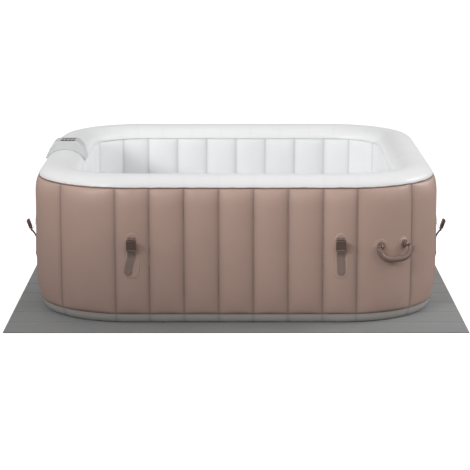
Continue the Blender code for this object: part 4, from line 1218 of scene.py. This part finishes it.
def wall_depth(length, height):
    """How deep the outer wall's surface is below the ring's outline."""
    length %= RING_LENGTH
    edges = OUTER_SEAMS + [OUTER_SEAMS[0] + RING_LENGTH]
    if length < edges[0]:
        length += RING_LENGTH
    here = max(e for e in edges if e <= length)
    there = min([e for e in edges if e > length] or [OUTER_SEAMS[1] + RING_LENGTH])
    share = (length - here) / (there - here)
    crest = (4 * share * (1 - share)) ** CREST_POWER
    filled = (quarter_round(height - BAND_TOP, OUTER_FOOT_ROUND)
              * quarter_round(WALL_TOP - height, OUTER_TOP_ROUND))
    return EDGE_INSET - (EDGE_INSET - SEAM_DIP + SEAM_DIP * crest) * filled


def soft_step(value, low, high):
    """0 below low and 1 above high, with a smooth rise between them."""
    t = min(max((value - low) / (high - low), 0.0), 1.0)
    return t * t * (3 - 2 * t)


print("a panel's crest is", round(wall_depth(0.0, 0.3) * 1000, 1), "mm deep, and a seam is",
      round(wall_depth(OUTER_SEAMS[0], 0.3) * 1000, 1), "mm")

# %% [markdown]
# ## Welded patches
# A patch of thicker vinyl under each buckle spreads its pull over the wall. It is cut with a round top and
# welded all round, which leaves a low bead inside its edge. Shrinkwrap could lay a flat patch on the wall,
# but its points would bunch up at the seams, so each point is placed by the rule instead.

# %% Welded patches
PATCH_SECTORS, PATCH_ROUNDS = 56, 14
PATCH_PROUD = 0.0003
PATCH_BEAD, BEAD_PLACE, BEAD_WIDTH = 0.0015, 0.9, 0.045
PATCH_SHEET = 0.0006


def add_patch(bm, side, along, height, outline, boss=None):
    """One patch. outline gives (x, z) for an angle, and boss is how far its middle stands out, if it does."""
    rounds = []
    for j in range(1, PATCH_ROUNDS + 1):
        share = 1 - (1 - j / PATCH_ROUNDS) ** 1.6
        ring = []
        for i in range(PATCH_SECTORS):
            x, z = (share * value for value in outline(2 * math.pi * i / PATCH_SECTORS))
            length = side * SIDE_LENGTH + along + x
            bead = PATCH_BEAD * math.exp(-((share - BEAD_PLACE) / BEAD_WIDTH) ** 2)
            level = wall_depth(length, height + z) - (PATCH_PROUD + bead) * (1 if j < PATCH_ROUNDS else -1)
            if boss is not None:
                level += (-boss - level) * (1 - soft_step(share, 0.5, 0.94))
            ring.append(bm.verts.new(ring_point(length, level) + Vector((0, 0, height + z))))
        rounds.append(ring)
    centre = bm.verts.new(sum((v.co for v in rounds[0]), Vector()) / PATCH_SECTORS)
    for i in range(PATCH_SECTORS):
        ahead = (i + 1) % PATCH_SECTORS
        bm.faces.new((centre, rounds[0][i], rounds[0][ahead]))
        for inner, outer in zip(rounds, rounds[1:]):
            bm.faces.new((inner[i], outer[i], outer[ahead], inner[ahead]))


def finish_mesh(name, bm, material, angle):
    """An object from a bmesh, with its material and smooth shading."""
    mesh = bpy.data.meshes.new(name)
    bm.to_mesh(mesh)
    bm.free()
    mesh.materials.append(MATERIALS[material])
    return smooth(link(bpy.data.objects.new(name, mesh)), angle)


def tongue(angle, half_width=0.036, top=0.074, bottom=-0.132):
    """A patch with a round top and a nearly square foot."""
    c, s = math.cos(angle), math.sin(angle)
    power = 2.0 if s > 0 else 5.0
    reach = (abs(c) ** power + abs(s) ** power) ** (-1 / power)
    return half_width * c * reach, (top if s > 0 else -bottom) * s * reach


BUCKLE_OFFSET, BUCKLE_HEIGHT = 3 * PANEL_PITCH, 0.343
BUCKLE_SPOTS = [(side, sign * BUCKLE_OFFSET) for side in range(4) for sign in (-1, 1)]
bm = bmesh.new()
for side, along in BUCKLE_SPOTS:
    add_patch(bm, side, along, BUCKLE_HEIGHT, tongue)
buckle_patches = finish_mesh("buckle_patches", bm, "outer_vinyl", 60)
thicken(buckle_patches, PATCH_SHEET)
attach(buckle_patches, "tub")
print("patches:", len(BUCKLE_SPOTS))

# %% [markdown]
# ## Webbing
# A length of woven webbing holds each buckle. It is sewn at its top, goes round the buckle's bar and hangs
# down as a tail with a hemmed end. A curve with a flat bevel would twist at the bar, so the strip is
# modelled straight from its path, with a UV map in metres that the weave follows.

# %% Webbing strips
WEB_WIDTH, WEB_THICK = 0.035, 0.0015
ON_WALL = -0.0005 - WEB_THICK / 2
BAR_STANDOFF = 0.022
BUCKLE_TILT = math.radians(20)
TAIL_END = -0.116
HEM, TAIL_ROUND = 0.013, 0.007
WRAP_RADIUS = 0.0035
TAIL_LEANS = (-0.016, 0.003, -0.004, 0.006, 0.004, -0.007, -0.003, 0.005)


def smooth_line(points, steps):
    """Points along a smooth curve through the given ones."""
    ends = [points[0] * 2 - points[1], *points, points[-1] * 2 - points[-2]]
    line = []
    for before, here, there, after in zip(ends, ends[1:], ends[2:], ends[3:]):
        for k in range(steps):
            t = k / steps
            line.append(0.5 * (2 * here + (there - before) * t
                               + (2 * before - 5 * here + 4 * there - after) * t * t
                               + (3 * here - before - 3 * there + after) * t ** 3))
    return [*line, points[-1]]


def webbing_path():
    """(inwards, up) from the strip's top end, round the bar, to its tail."""
    bar = Vector((-BAR_STANDOFF, 0))
    tilt = Matrix.Rotation(BUCKLE_TILT, 2)
    turns = [math.pi * k / 4 for k in range(5)]
    upper = [(ON_WALL, 0.054), (ON_WALL, 0.044), (ON_WALL, 0.034), (-0.0055, 0.0235), (-0.0165, 0.0080)]
    lower = [(-0.0165, -0.0080), (-0.0055, -0.0235), (ON_WALL, -0.0370), (ON_WALL, -0.060),
             (ON_WALL, TAIL_END)]
    bend = [bar + tilt @ Vector((-WRAP_RADIUS * math.sin(a), WRAP_RADIUS * math.cos(a))) for a in turns]
    return smooth_line([*map(Vector, upper), *bend, *map(Vector, lower)], 5)


def add_woven_face(bm, uv, corners):
    """A face from (vertex, place on the UV map) corners."""
    face = bm.faces.new([vert for vert, _ in corners])
    for loop, (_, texture) in zip(face.loops, corners):
        loop[uv].uv = texture


def add_strip(bm, uv, place, lean):
    """One strip of webbing, round at its tail and doubled at its hem."""
    line = webbing_path()
    shares = (-1.0, -0.9, -0.5, 0.0, 0.5, 0.9, 1.0)
    length, rows = 0.0, []
    for k, point in enumerate(line):
        if k:
            length += (point - line[k - 1]).length
        ahead = (line[min(k + 1, len(line) - 1)] - line[max(k - 1, 0)]).normalized()
        outwards = Vector((-ahead.y, ahead.x))
        if outwards.x > 0 and abs(ahead.y) > 0.9:
            outwards = -outwards
        left = point.y - TAIL_END
        hem = WEB_THICK * soft_step(HEM - left, 0.0, 0.0015) if k > len(line) / 2 else 0.0
        round_end = 1.0
        if k > len(line) / 2 and left < TAIL_ROUND:
            round_end = 0.55 + 0.45 * math.sqrt(max(0.0, 1 - (1 - left / TAIL_ROUND) ** 2))
        swing = lean * soft_step(-point.y, 0.02, 0.10)
        row = []
        for face, rise in ((-1, -WEB_THICK / 2), (1, WEB_THICK / 2 + hem)):
            for share in shares if face < 0 else shares[::-1]:
                slim = 0.75 if abs(share) == 1 else 1.0
                across = share * WEB_WIDTH / 2 * round_end + swing
                spot = point + outwards * rise * slim
                row.append((bm.verts.new(place @ Vector((across, spot.x, spot.y))),
                            (share * WEB_WIDTH / 2, length)))
        rows.append(row)
    count = len(rows[0])
    for here, there in zip(rows, rows[1:]):
        for i in range(count):
            after = (i + 1) % count
            add_woven_face(bm, uv, (here[i], here[after], there[after], there[i]))
    add_woven_face(bm, uv, rows[0][::-1])
    add_woven_face(bm, uv, rows[-1])


bm = bmesh.new()
uv = bm.loops.layers.uv.new("webbing")
for (side, along), lean in zip(BUCKLE_SPOTS, TAIL_LEANS):
    add_strip(bm, uv, ring_frame(side, along, BUCKLE_HEIGHT), lean)
bmesh.ops.recalc_face_normals(bm, faces=bm.faces)
straps = finish_mesh("lid_straps", bm, "webbing", 50)
strap_nodes = [node for node in frame["nodes"] if node.startswith("buckle_strap_")]
stand_for(straps, strap_nodes)
strap_length = sum((b - a).length for a, b in zip(webbing_path(), webbing_path()[1:]))
print("straps:", len(strap_nodes), " path:", round(strap_length * 1000), "mm each")

# %% [markdown]
# ## Stitches
# The webbing is sewn down with a crossed box at its top, and its tail has a row on the hem. A stitch is a
# short piece of thread between two needle holes. There are hundreds, so the shape has few faces and the
# repeat tree sets it along the seams.

# %% Stitches
def stitch_shape():
    """A thread seen between two needle holes: a low six-sided pillow."""
    bm = bmesh.new()
    rings = [[bm.verts.new((x, r * math.cos(a), 0.6 * r * math.sin(a) + 0.0001))
              for a in [math.pi * k / 3 for k in range(6)]]
             for x, r in ((-0.0012, 0.0002), (-0.0007, 0.00042), (0.0007, 0.00042), (0.0012, 0.0002))]
    for first, second in zip(rings, rings[1:]):
        for k in range(6):
            bm.faces.new((first[k], first[(k + 1) % 6], second[(k + 1) % 6], second[k]))
    bm.faces.new(rings[0][::-1])
    bm.faces.new(rings[-1])
    bmesh.ops.recalc_face_normals(bm, faces=bm.faces)
    mesh = bpy.data.meshes.new("stitch")
    bm.to_mesh(mesh)
    bm.free()
    return link(bpy.data.objects.new("stitch", mesh))


STITCH_LENGTH = 0.0034
HEM_SEAM = 3


def sewn_lines(lean):
    """Seams on one strip, as (x, z) runs: a crossed box at its top, and a row on its hem."""
    low, high, half = 0.032, 0.051, 0.0135
    tail = TAIL_END + HEM - 0.0025
    return [[(-half, low), (half, low), (half, high), (-half, high), (-half, low)],
            [(-half, low), (half, high)], [(half, low), (-half, high)],
            [(lean * 0.95 - half, tail), (lean * 0.95 + half, tail)]]


runs, facing = [], []
for (side, along), lean in zip(BUCKLE_SPOTS, TAIL_LEANS):
    place = ring_frame(side, along, BUCKLE_HEIGHT)
    for k, seam in enumerate(sewn_lines(lean)):
        level = ON_WALL - WEB_THICK / 2 - (WEB_THICK if k == HEM_SEAM else 0.0)
        runs.append(([place @ Vector((x, level, z)) for x, z in seam], False))
        facing += [place.to_3x3() @ Vector((0, -1, 0))] * len(seam)
MATERIALS["thread"] = moulded("thread", linear(92, 76, 68), 0.7)
stitches = repeat("strap_stitches", runs, facing, stitch_shape(), STITCH_LENGTH, "thread")
print("stitches:", len(stitches.data.polygons) // 20)

# %% [markdown]
# ## Moulded parts
# A moulded part has no sharp edges, and that is what catches the light. The working model's buckles,
# flanges and covers already have the right shape, so each is copied, its loose triangles are merged into
# flat faces, and a Bevel modifier rounds its edges.

# %% Rounded copies of working parts
BODY_OF = {node: body for body, nodes in frame["record"]["behaviour"]["bodies"].items() for node in nodes}


def merged_copy(node, name):
    """A copy of a working part whose loose triangles are merged into flat faces."""
    bm = bmesh.new()
    bm.from_mesh(frame["nodes"][node].data)
    bmesh.ops.remove_doubles(bm, verts=bm.verts, dist=0.00001)
    bmesh.ops.dissolve_limit(bm, angle_limit=math.radians(2), verts=bm.verts, edges=bm.edges)
    mesh = bpy.data.meshes.new(name)
    bm.to_mesh(mesh)
    bm.free()
    return link(bpy.data.objects.new(name, mesh))


def rounded_part(node, material, edge):
    """A copy of a working part with rounded edges, which stands for it."""
    piece = merged_copy(node, node + "_moulded")
    bevel = piece.modifiers.new("edges", "BEVEL")
    bevel.width = edge
    bevel.segments = 2
    bevel.limit_method = "ANGLE"
    bevel.angle_limit = math.radians(40)
    settle(piece)
    piece.data.materials.clear()
    piece.data.materials.append(MATERIALS[material])
    even_shading(smooth(piece, 38))
    return stand_for(piece, [node], BODY_OF[node])


SOCKETS = [node for node in frame["nodes"] if node.startswith("buckle_socket_")]
for node in SOCKETS:
    rounded_part(node, "buckle_plastic", 0.0009)
print("rounded:", len(SOCKETS), "sockets")

# %% [markdown]
# ## Grip ridges
# Low bars across a socket's face give a wet thumb a hold when it is pressed open. They ride on the
# socket's own body, so that they swing with it. The same bar, shorter, goes round the caps further down.

# %% Grip ridges on the sockets
def ridge_shape(length, width, rise):
    """A low rounded bar along Y, which stands up along Z."""
    bm = bmesh.new()
    section = [(width / 2 * math.cos(a), rise * math.sin(a)) for a in [math.pi * k / 4 for k in range(5)]]
    section.append((0, -rise / 2))
    ends = [[bm.verts.new((x, y, z)) for x, z in section] for y in (-length / 2, length / 2)]
    for k in range(6):
        bm.faces.new((ends[0][k], ends[0][(k + 1) % 6], ends[1][(k + 1) % 6], ends[1][k]))
    bm.faces.new(ends[0])
    bm.faces.new(ends[1])
    bmesh.ops.recalc_face_normals(bm, faces=bm.faces)
    mesh = bpy.data.meshes.new("ridge")
    bm.to_mesh(mesh)
    bm.free()
    return link(bpy.data.objects.new("ridge", mesh))


SIDE_NAMES = ("front", "right", "back", "left")
for (side, along), place_name in zip(BUCKLE_SPOTS, "ab" * 4):
    place = (ring_frame(side, along, BUCKLE_HEIGHT) @ Matrix.Translation((0, -BAR_STANDOFF, 0))
             @ Matrix.Rotation(BUCKLE_TILT, 4, "X"))
    run = [place @ Vector((0, -0.0059, z)) for z in (0.0385, 0.0475)]
    outwards = place.to_3x3() @ Vector((0, -1, 0))
    name = f"socket_{SIDE_NAMES[side]}_{place_name}"
    repeat(name + "_ridges", [(run, False)], [outwards] * 2, ridge_shape(0.028, 0.0018, 0.0007), 0.0029,
           "buckle_plastic", body=name)
print("ridges on", len(BUCKLE_SPOTS), "sockets")

# %% [markdown]
# ## Carry handles
# The handle is one moulded loop, thicker in the middle where the hand takes it. It could be carved from a
# ring, but a curve with a round bevel, whose radius changes along it, follows the hand's shape from a few
# points. Its two pins turn in the lugs of the anchors.

# %% Handles
HANDLE_BENDS = ((0.0855, -0.0060, -0.0040), (0.0825, -0.0100, -0.0200), (0.0700, -0.0150, -0.0410),
                (0.0470, -0.0195, -0.0540), (0.0220, -0.0210, -0.0580))
HANDLE_RADIUS = 0.0130
HANDLE_ANGLE, HANDLE_HALF_ANGLE = math.radians(29), math.radians(7.9)
HANDLE_HEIGHT, HANDLE_STANDOFF = 0.352, 0.014
handle_middle = FLAT + HANDLE_ANGLE * CORNER_RADIUS
handle_spread = HANDLE_HALF_ANGLE * CORNER_RADIUS
hinge_y = CORNER_RADIUS * (1 - math.cos(HANDLE_HALF_ANGLE)) - HANDLE_STANDOFF * math.cos(HANDLE_HALF_ANGLE)


def join(name, objects):
    """One object from several, in their places."""
    bm = bmesh.new()
    for obj in objects:
        mesh = obj.data.copy()
        mesh.transform(obj.matrix_basis)
        bm.from_mesh(mesh)
        bpy.data.meshes.remove(mesh)
        bpy.data.objects.remove(obj)
    mesh = bpy.data.meshes.new(name)
    bm.to_mesh(mesh)
    bm.free()
    return link(bpy.data.objects.new(name, mesh))


def handle_loop(name):
    """The loop itself, from one end to the other, in the hinge's frame."""
    half = [Vector(bend) for bend in HANDLE_BENDS]
    line = smooth_line([Vector((-p.x, p.y, p.z)) for p in half] + half[::-1], 8)
    curve = bpy.data.curves.new(name, "CURVE")
    curve.dimensions = "3D"
    curve.bevel_depth = HANDLE_RADIUS
    curve.bevel_resolution = 6
    curve.use_fill_caps = True
    spline = curve.splines.new("POLY")
    spline.points.add(len(line) - 1)
    for k, (point, spot) in enumerate(zip(spline.points, line)):
        share = k / (len(line) - 1)
        grip = soft_step(share, 0.16, 0.32) * (1 - soft_step(share, 0.68, 0.84))
        end = min(share, 1 - share)
        point.co = (*spot, 1.0)
        point.radius = (0.92 + 0.08 * grip) * (0.8 + 0.2 * quarter_round(end, 0.03))
    return settle(link(bpy.data.objects.new(name, curve)))


def handle_pin(sign):
    """One of the two pins, which stand inwards from the loop's ends."""
    profile = [(0, 0.0536), (0.0034, 0.0536), (0.0040, 0.0542), (0.0040, 0.0698), (0.0046, 0.0700),
               (0.0058, 0.0706), (0.0058, 0.0880), (0, 0.0880)]
    pin = turned_mesh("pin", profile, 20)
    pin.matrix_basis = Matrix.Rotation(sign * math.pi / 2, 4, "Y")
    return pin


MATERIALS["handle_plastic"] = moulded("handle_plastic", linear(139, 116, 106), 0.36, relief=0.00004)
for side, side_name in ((FRONT, "front"), (BACK, "back")):
    handle = join(f"{side_name}_handle_moulded", [handle_loop("loop"), handle_pin(1), handle_pin(-1)])
    hinge = ring_frame(side, handle_middle, HANDLE_HEIGHT) @ Matrix.Translation((0, hinge_y, 0))
    handle.data.transform(hinge)
    handle.data.materials.append(MATERIALS["handle_plastic"])
    smooth(handle, 40)
    stand_for(handle, [f"{side_name}_handle"], f"{side_name}_handle")
print("handle span:", round(2000 * (HANDLE_BENDS[0][0] + HANDLE_RADIUS)), "mm")

# %% [markdown]
# ## Handle anchors
# An anchor has a round foot, a lug that the pin turns in and two cheeks that tie the lug to the foot. It
# sits on a welded boss that evens out the curve of the wall. The foot and the lug are turned profiles and
# the cheeks are blocks with round edges, joined in place as they are when they come out of one mould.

# %% Handle anchors
FOOT_PROFILE = [(0, 0.0006), (0.0190, 0.0006), (0.0196, 0.0018), (0.0186, 0.0032), (0.0150, 0.0038),
                (0, 0.0040)]
LUG_PROFILE = [(0.0062, -0.0048), (0.0098, -0.0050), (0.0105, -0.0042), (0.0105, 0.0042), (0.0098, 0.0050),
               (0.0062, 0.0048)]
CHEEK_SIZE = (0.0084, 0.012, 0.004)
CHEEK_RISE = 0.0084


def anchor(name):
    """A round foot on the wall with a lug that the handle's pin turns in. Its frame is the wall's."""
    foot = turned_mesh("foot", FOOT_PROFILE, 40)
    foot.matrix_basis = Matrix.Translation((0, 0, 0.001)) @ Matrix.Rotation(math.pi / 2, 4, "X")
    lug = turned_mesh("lug", LUG_PROFILE, 32, closed=True)
    lug.matrix_basis = Matrix.Translation((0, -HANDLE_STANDOFF, 0)) @ Matrix.Rotation(math.pi / 2, 4, "Y")
    parts = [foot, lug]
    for sign in (1, -1):
        bm = bmesh.new()
        middle = (0, CHEEK_SIZE[1] / 2 - HANDLE_STANDOFF, sign * CHEEK_RISE)
        place = Matrix.Translation(middle) @ Matrix.Diagonal((*CHEEK_SIZE, 1))
        bmesh.ops.create_cube(bm, size=1.0, matrix=place)
        bmesh.ops.bevel(bm, geom=bm.edges[:], offset=0.0008, segments=2, affect="EDGES", profile=0.5)
        mesh = bpy.data.meshes.new("cheek")
        bm.to_mesh(mesh)
        bm.free()
        parts.append(link(bpy.data.objects.new("cheek", mesh)))
    return join(name, parts)


BOSS_RADIUS = 0.030


def round_boss(angle):
    """The outline of a boss."""
    return BOSS_RADIUS * math.cos(angle), BOSS_RADIUS * math.sin(angle)


bm = bmesh.new()
for side, side_name in ((FRONT, "front"), (BACK, "back")):
    for sign, end in ((-1, "left"), (1, "right")):
        spot = handle_middle + sign * handle_spread
        add_patch(bm, side, spot, HANDLE_HEIGHT + 0.001, round_boss, boss=0.0006)
        piece = anchor(f"{side_name}_anchor_{end}_moulded")
        piece.data.transform(ring_frame(side, spot, HANDLE_HEIGHT))
        piece.data.materials.append(MATERIALS["handle_plastic"])
        smooth(piece, 40)
        stand_for(piece, [f"{side_name}_handle_anchor_{end}"], "tub")
bosses = finish_mesh("anchor_bosses", bm, "outer_vinyl", 60)
thicken(bosses, PATCH_SHEET)
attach(bosses, "tub")
print("anchors: 4, on bosses", round(2000 * BOSS_RADIUS), "mm across")

# %% [markdown]
# ## The control panel
# A moulded saddle sits astride the left rim. Seen from the front it is a crescent: its underside follows
# the rim's arch and its top is flat, with a row of four keys and a small dark window. It is drawn as its
# outline, carried along the rim and drawn in a little at both ends, so that its edges are round. Wells are
# then cut in it for the keys, because they have to sink when they are pressed.

# %% Saddle
panel_low, panel_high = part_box("panel_housing")
CROWN = panel_high.z
SADDLE_ROUND = 0.007
SADDLE_TOP = ((-0.0985, 0.620), (-0.092, 0.638), (-0.083, 0.656), (-0.074, 0.673), (-0.064, 0.688),
              (-0.055, 0.697), (-0.044, 0.7025), (-0.030, CROWN), (0.038, CROWN), (0.052, 0.7030),
              (0.061, 0.698), (0.069, 0.690), (0.077, 0.680), (0.084, 0.667), (0.090, 0.650),
              (0.0945, 0.632), (0.0965, 0.612))


def saddle_point(share, top, inset):
    """(depth, height) on the saddle's upper or lower outline, drawn in by inset."""
    if top:
        place = share * (len(SADDLE_TOP) - 1)
        k = min(int(place), len(SADDLE_TOP) - 2)
        here, there = Vector(SADDLE_TOP[k]), Vector(SADDLE_TOP[k + 1])
        spot = here.lerp(there, place - k)
        ahead = (there - here).normalized()
        return RIM_MIDDLE + spot.x + ahead.y * inset, spot.y - ahead.x * inset
    depth, height = arch_point(0.06 + 0.89 * share)
    away = Vector((depth - RIM_MIDDLE, height - 0.60)).normalized()
    return depth + away.x * 0.0012, height + away.y * 0.0012


def saddle_mesh():
    """The saddle's outline carried along the rim, closed at both ends."""
    near_end, far_end = -panel_high.y, -panel_low.y
    turns = [math.pi / 2 * k / 5 for k in range(6)]
    stations = [(near_end + SADDLE_ROUND * (1 - math.cos(a)), SADDLE_ROUND * (1 - math.sin(a)))
                for a in turns]
    stations += [(near_end + far_end - x, inset) for x, inset in reversed(stations)]
    bm = bmesh.new()
    loops = []
    for x, inset in stations:
        top = [saddle_point(k / 64, True, inset) for k in range(65)]
        under = [saddle_point(k / 32, False, 0.0) for k in range(33)]
        loops.append([bm.verts.new((x, *point)) for point in top + under[::-1]])
    count = len(loops[0])
    for first, second in zip(loops, loops[1:]):
        for k in range(count):
            after = (k + 1) % count
            bm.faces.new((first[k], first[after], second[after], second[k]))
    bm.faces.new(loops[0])
    bm.faces.new(loops[-1])
    bmesh.ops.recalc_face_normals(bm, faces=bm.faces)
    mesh = bpy.data.meshes.new("panel_saddle")
    bm.to_mesh(mesh)
    bm.free()
    mesh.transform(ring_frame(LEFT, 0, 0))
    return link(bpy.data.objects.new("panel_saddle", mesh))


def cut(piece, low, high, edge=0.0):
    """Cuts a box with round upright edges out of a piece."""
    bm = bmesh.new()
    low, high = Vector(low), Vector(high)
    place = Matrix.Translation((low + high) / 2) @ Matrix.Diagonal((*(high - low), 1.0))
    bmesh.ops.create_cube(bm, size=1.0, matrix=place)
    if edge:
        upright = [e for e in bm.edges if abs(e.verts[0].co.z - e.verts[1].co.z) > 0.001]
        bmesh.ops.bevel(bm, geom=upright, offset=edge, segments=4, affect="EDGES", profile=0.5)
    mesh = bpy.data.meshes.new("cutter")
    bm.to_mesh(mesh)
    bm.free()
    cutter = link(bpy.data.objects.new("cutter", mesh))
    modifier = piece.modifiers.new("cut", "BOOLEAN")
    modifier.object = cutter
    modifier.solver = "EXACT"
    settle(piece)
    bpy.data.objects.remove(cutter)


saddle = saddle_mesh()
WELL_PLAY = 0.0005
for k in range(4):
    low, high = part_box(f"control_key_{k + 1}")
    cut(saddle, (low.x - WELL_PLAY, low.y - WELL_PLAY, CROWN - 0.010),
        (high.x + WELL_PLAY, high.y + WELL_PLAY, CROWN + 0.01), 0.0022)
window_low, window_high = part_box("display_window")
cut(saddle, (window_low.x - WELL_PLAY, window_low.y - WELL_PLAY, window_low.z - 0.0005),
    (window_high.x + WELL_PLAY, window_high.y + WELL_PLAY, CROWN + 0.01), 0.003)
saddle.data.materials.append(MATERIALS["panel_plastic"])
even_shading(smooth(saddle, 32))
stand_for(saddle, ["panel_housing"])
print("saddle:", len(saddle.data.polygons), "faces")

# %% [markdown]
# ## Keys and window
# The keys are gloss black caps with a slight dish for a fingertip, and the window is a flat pane of the
# same plastic. Both are the same kind of block, so one function makes them. A dished top needs rings of
# points, which a cube with a bevel doesn't have.

# %% Keys and window
def soft_block(name, low, high, corner, top_round, dish, material):
    """A key or a window: a block with round corners, a round top edge and a slightly dished top."""
    low, high = Vector(low), Vector(high)
    middle, half = (low + high) / 2, (high - low) / 2
    sectors = 40
    bm = bmesh.new()

    def ring(inset, z):
        reach = Vector((half.x - inset, half.y - inset))
        round_off = max(corner - inset, 0.0003)
        verts = []
        for k in range(sectors):
            a = 2 * math.pi * (k + 0.5) / sectors
            c, s = math.cos(a), math.sin(a)
            x = math.copysign(reach.x - round_off, c) + round_off * c
            y = math.copysign(reach.y - round_off, s) + round_off * s
            verts.append(bm.verts.new((middle.x + x, middle.y + y, z)))
        return verts

    steps = [math.pi / 2 * k / 4 for k in range(5)]
    rings = [ring(0.0, low.z)]
    rings += [ring(top_round * (1 - math.cos(a)), high.z - top_round * (1 - math.sin(a))) for a in steps]
    rings += [ring(top_round + share * (min(half.x, half.y) - top_round) * 0.9, high.z - dish * share)
              for share in (0.2, 0.5, 1.0)]
    for first, second in zip(rings, rings[1:]):
        for k in range(sectors):
            bm.faces.new((first[k], first[(k + 1) % sectors], second[(k + 1) % sectors], second[k]))
    bm.faces.new(rings[0])
    bm.faces.new(rings[-1])
    bmesh.ops.recalc_face_normals(bm, faces=bm.faces)
    return finish_mesh(name, bm, material, 50)


for k in range(4):
    low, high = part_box(f"control_key_{k + 1}")
    key = soft_block(f"panel_key_{k + 1}", low, high, 0.0024, 0.0011, 0.0004, "key_plastic")
    stand_for(key, [f"control_key_{k + 1}"], BODY_OF[f"control_key_{k + 1}"])
window = soft_block("panel_window", window_low, window_high, 0.003, 0.0004, 0.0, "key_plastic")
stand_for(window, ["display_window"], "tub")
key_travel = [joint["range_m"][1] for joint in frame["joints"] if joint["name"] == "key_1_press"][0]
print("each key sinks", round(key_travel * 1000, 1), "mm")

# %% [markdown]
# ## The service side
# The pump, heater and blower are behind a screwed cover in the left wall. The cover has slots that let the
# blower breathe. The inflation valve beside it and the drain on the back wall have screwed caps. All of
# them are moulded and have their final shape already, so they are rounded copies like the sockets.

# %% Frame, cover, flanges and caps
ROUNDED_PARTS = (
    ("service_frame", "panel_plastic", 0.0016), ("service_cover", "panel_plastic", 0.0008),
    ("cable_gland", "dark_plastic", 0.0006), ("inflation_valve_seat", "dark_plastic", 0.0008),
    ("inflation_valve_cap", "dark_plastic", 0.0008), ("drain_pipe", "dark_plastic", 0.0005),
    ("drain_cap", "dark_plastic", 0.0008), ("drain_strainer", "panel_plastic", 0.0004),
    ("filter_base", "panel_plastic", 0.0008), ("filter_cover", "panel_plastic", 0.0007),
    ("return_nozzle", "panel_plastic", 0.0007))
for node, material, edge in ROUNDED_PARTS:
    rounded_part(node, material, edge)
print("rounded:", len(ROUNDED_PARTS), "parts")

# %% [markdown]
# ## Screws
# Steel screws pull the service frame against the wall, so that it clamps the cut edge of the vinyl. Only
# their heads show. A head is a turned profile, and the repeat tree spaces them evenly round the frame.

# %% Screws round the frame
def screw_shape():
    """A pan-head screw with a round socket."""
    profile = [(0, 0.0006), (0.0016, 0.0006), (0.0018, 0.0022), (0.0030, 0.0019), (0.0038, 0.0010),
               (0.0040, -0.0004)]
    return turned_mesh("screw", profile, 16)


SCREW_COUNT = 12
SCREW_FACE = -0.0060
frame_place = ring_frame(LEFT, 0, 0)
corners = [(-0.172, 0.098), (0.172, 0.098), (0.172, 0.522), (-0.172, 0.522)]
outwards = frame_place.to_3x3() @ Vector((0, -1, 0))
screw_line = [frame_place @ Vector((x, SCREW_FACE, z)) for x, z in corners]
around = 2 * (corners[1][0] - corners[0][0]) + 2 * (corners[2][1] - corners[1][1])
repeat("frame_screws", [(screw_line, True)], [outwards] * 4, screw_shape(), around / SCREW_COUNT, "steel")
print("screws:", SCREW_COUNT)

# %% [markdown]
# ## Cap ridges
# Wet fingers need ridges to unscrew a cap. They are the bars from the sockets, set round a circle and
# faced outwards from its middle, and they ride on the cap's own body.

# %% Ridges on the caps
def cap_ridges(name, place, radius, low, high, count, body):
    """Small bars round a cap, along its axis."""
    turns = [2 * math.pi * k / 60 for k in range(60)]
    points = [place @ Vector((radius * math.cos(a), -(low + high) / 2, radius * math.sin(a))) for a in turns]
    radial = [place.to_3x3() @ Vector((math.cos(a), 0, math.sin(a))) for a in turns]
    shape = ridge_shape(high - low, 0.0016, 0.0008)
    repeat(name, [(points, True)], radial, shape, 2 * math.pi * radius / count, "dark_plastic", body=body)


cap_ridges("inflation_cap_ridges", ring_frame(*VALVE_SPOT[:2], VALVE_SPOT[2]), 0.0229, 0.0065, 0.0190, 30,
           BODY_OF["inflation_valve_cap"])
cap_ridges("drain_cap_ridges", ring_frame(*DRAIN_SPOT), 0.0194, 0.0050, 0.0265, 26, BODY_OF["drain_cap"])

# %% [markdown]
# ## Inside the walls
# Nobody sees these parts until the cover comes off, yet they are there. They keep their working shapes and
# only need their finishes: pleated filter paper, drawn steel on the heater, moulded pump and blower
# housings. Giving a working part's own material slot a new material is enough, since its mesh stays as it
# is.

# %% Finishes for the working parts
paper, tree, shader = new_material("filter_paper", 0.85, Sheen_Weight=0.15)
point = object_point(tree)
fibres = noise(tree, point, 900.0, 4.0, 0.7)
stain = noise(tree, point, 25.0, 2.0)
feed(shader.inputs["Base Color"], mix_colour(tree, stain, linear(226, 228, 226), linear(240, 241, 240)))
feed(shader.inputs["Roughness"], fibres.math("MULTIPLY_ADD", 0.15, 0.75))
add_bump(tree, shader, fibres, 0.00015)
MATERIALS["filter_paper"] = paper
MATERIALS["light_plastic"] = moulded("light_plastic", linear(196, 198, 199), 0.4)

KEPT_NODES = {
    "control_box_case": "dark_plastic", "pump_housing": "dark_plastic", "pump_cover": "dark_plastic",
    "pump_impeller": "light_plastic", "intake_pipe": "dark_plastic", "heater_tank": "steel",
    "air_blower": "dark_plastic", "blower_fan": "light_plastic", "air_pipe": "dark_plastic",
    "circuit_board": "circuit_board", "key_board": "circuit_board", "filter_cartridge": "filter_paper",
    "wall_web": "inner_vinyl", "bottom_sheet": "base_vinyl",
}
for node, material in KEPT_NODES.items():
    for material_slot in frame["nodes"][node].material_slots:
        material_slot.material = MATERIALS[material]
print("finished:", len(KEPT_NODES), "working parts")
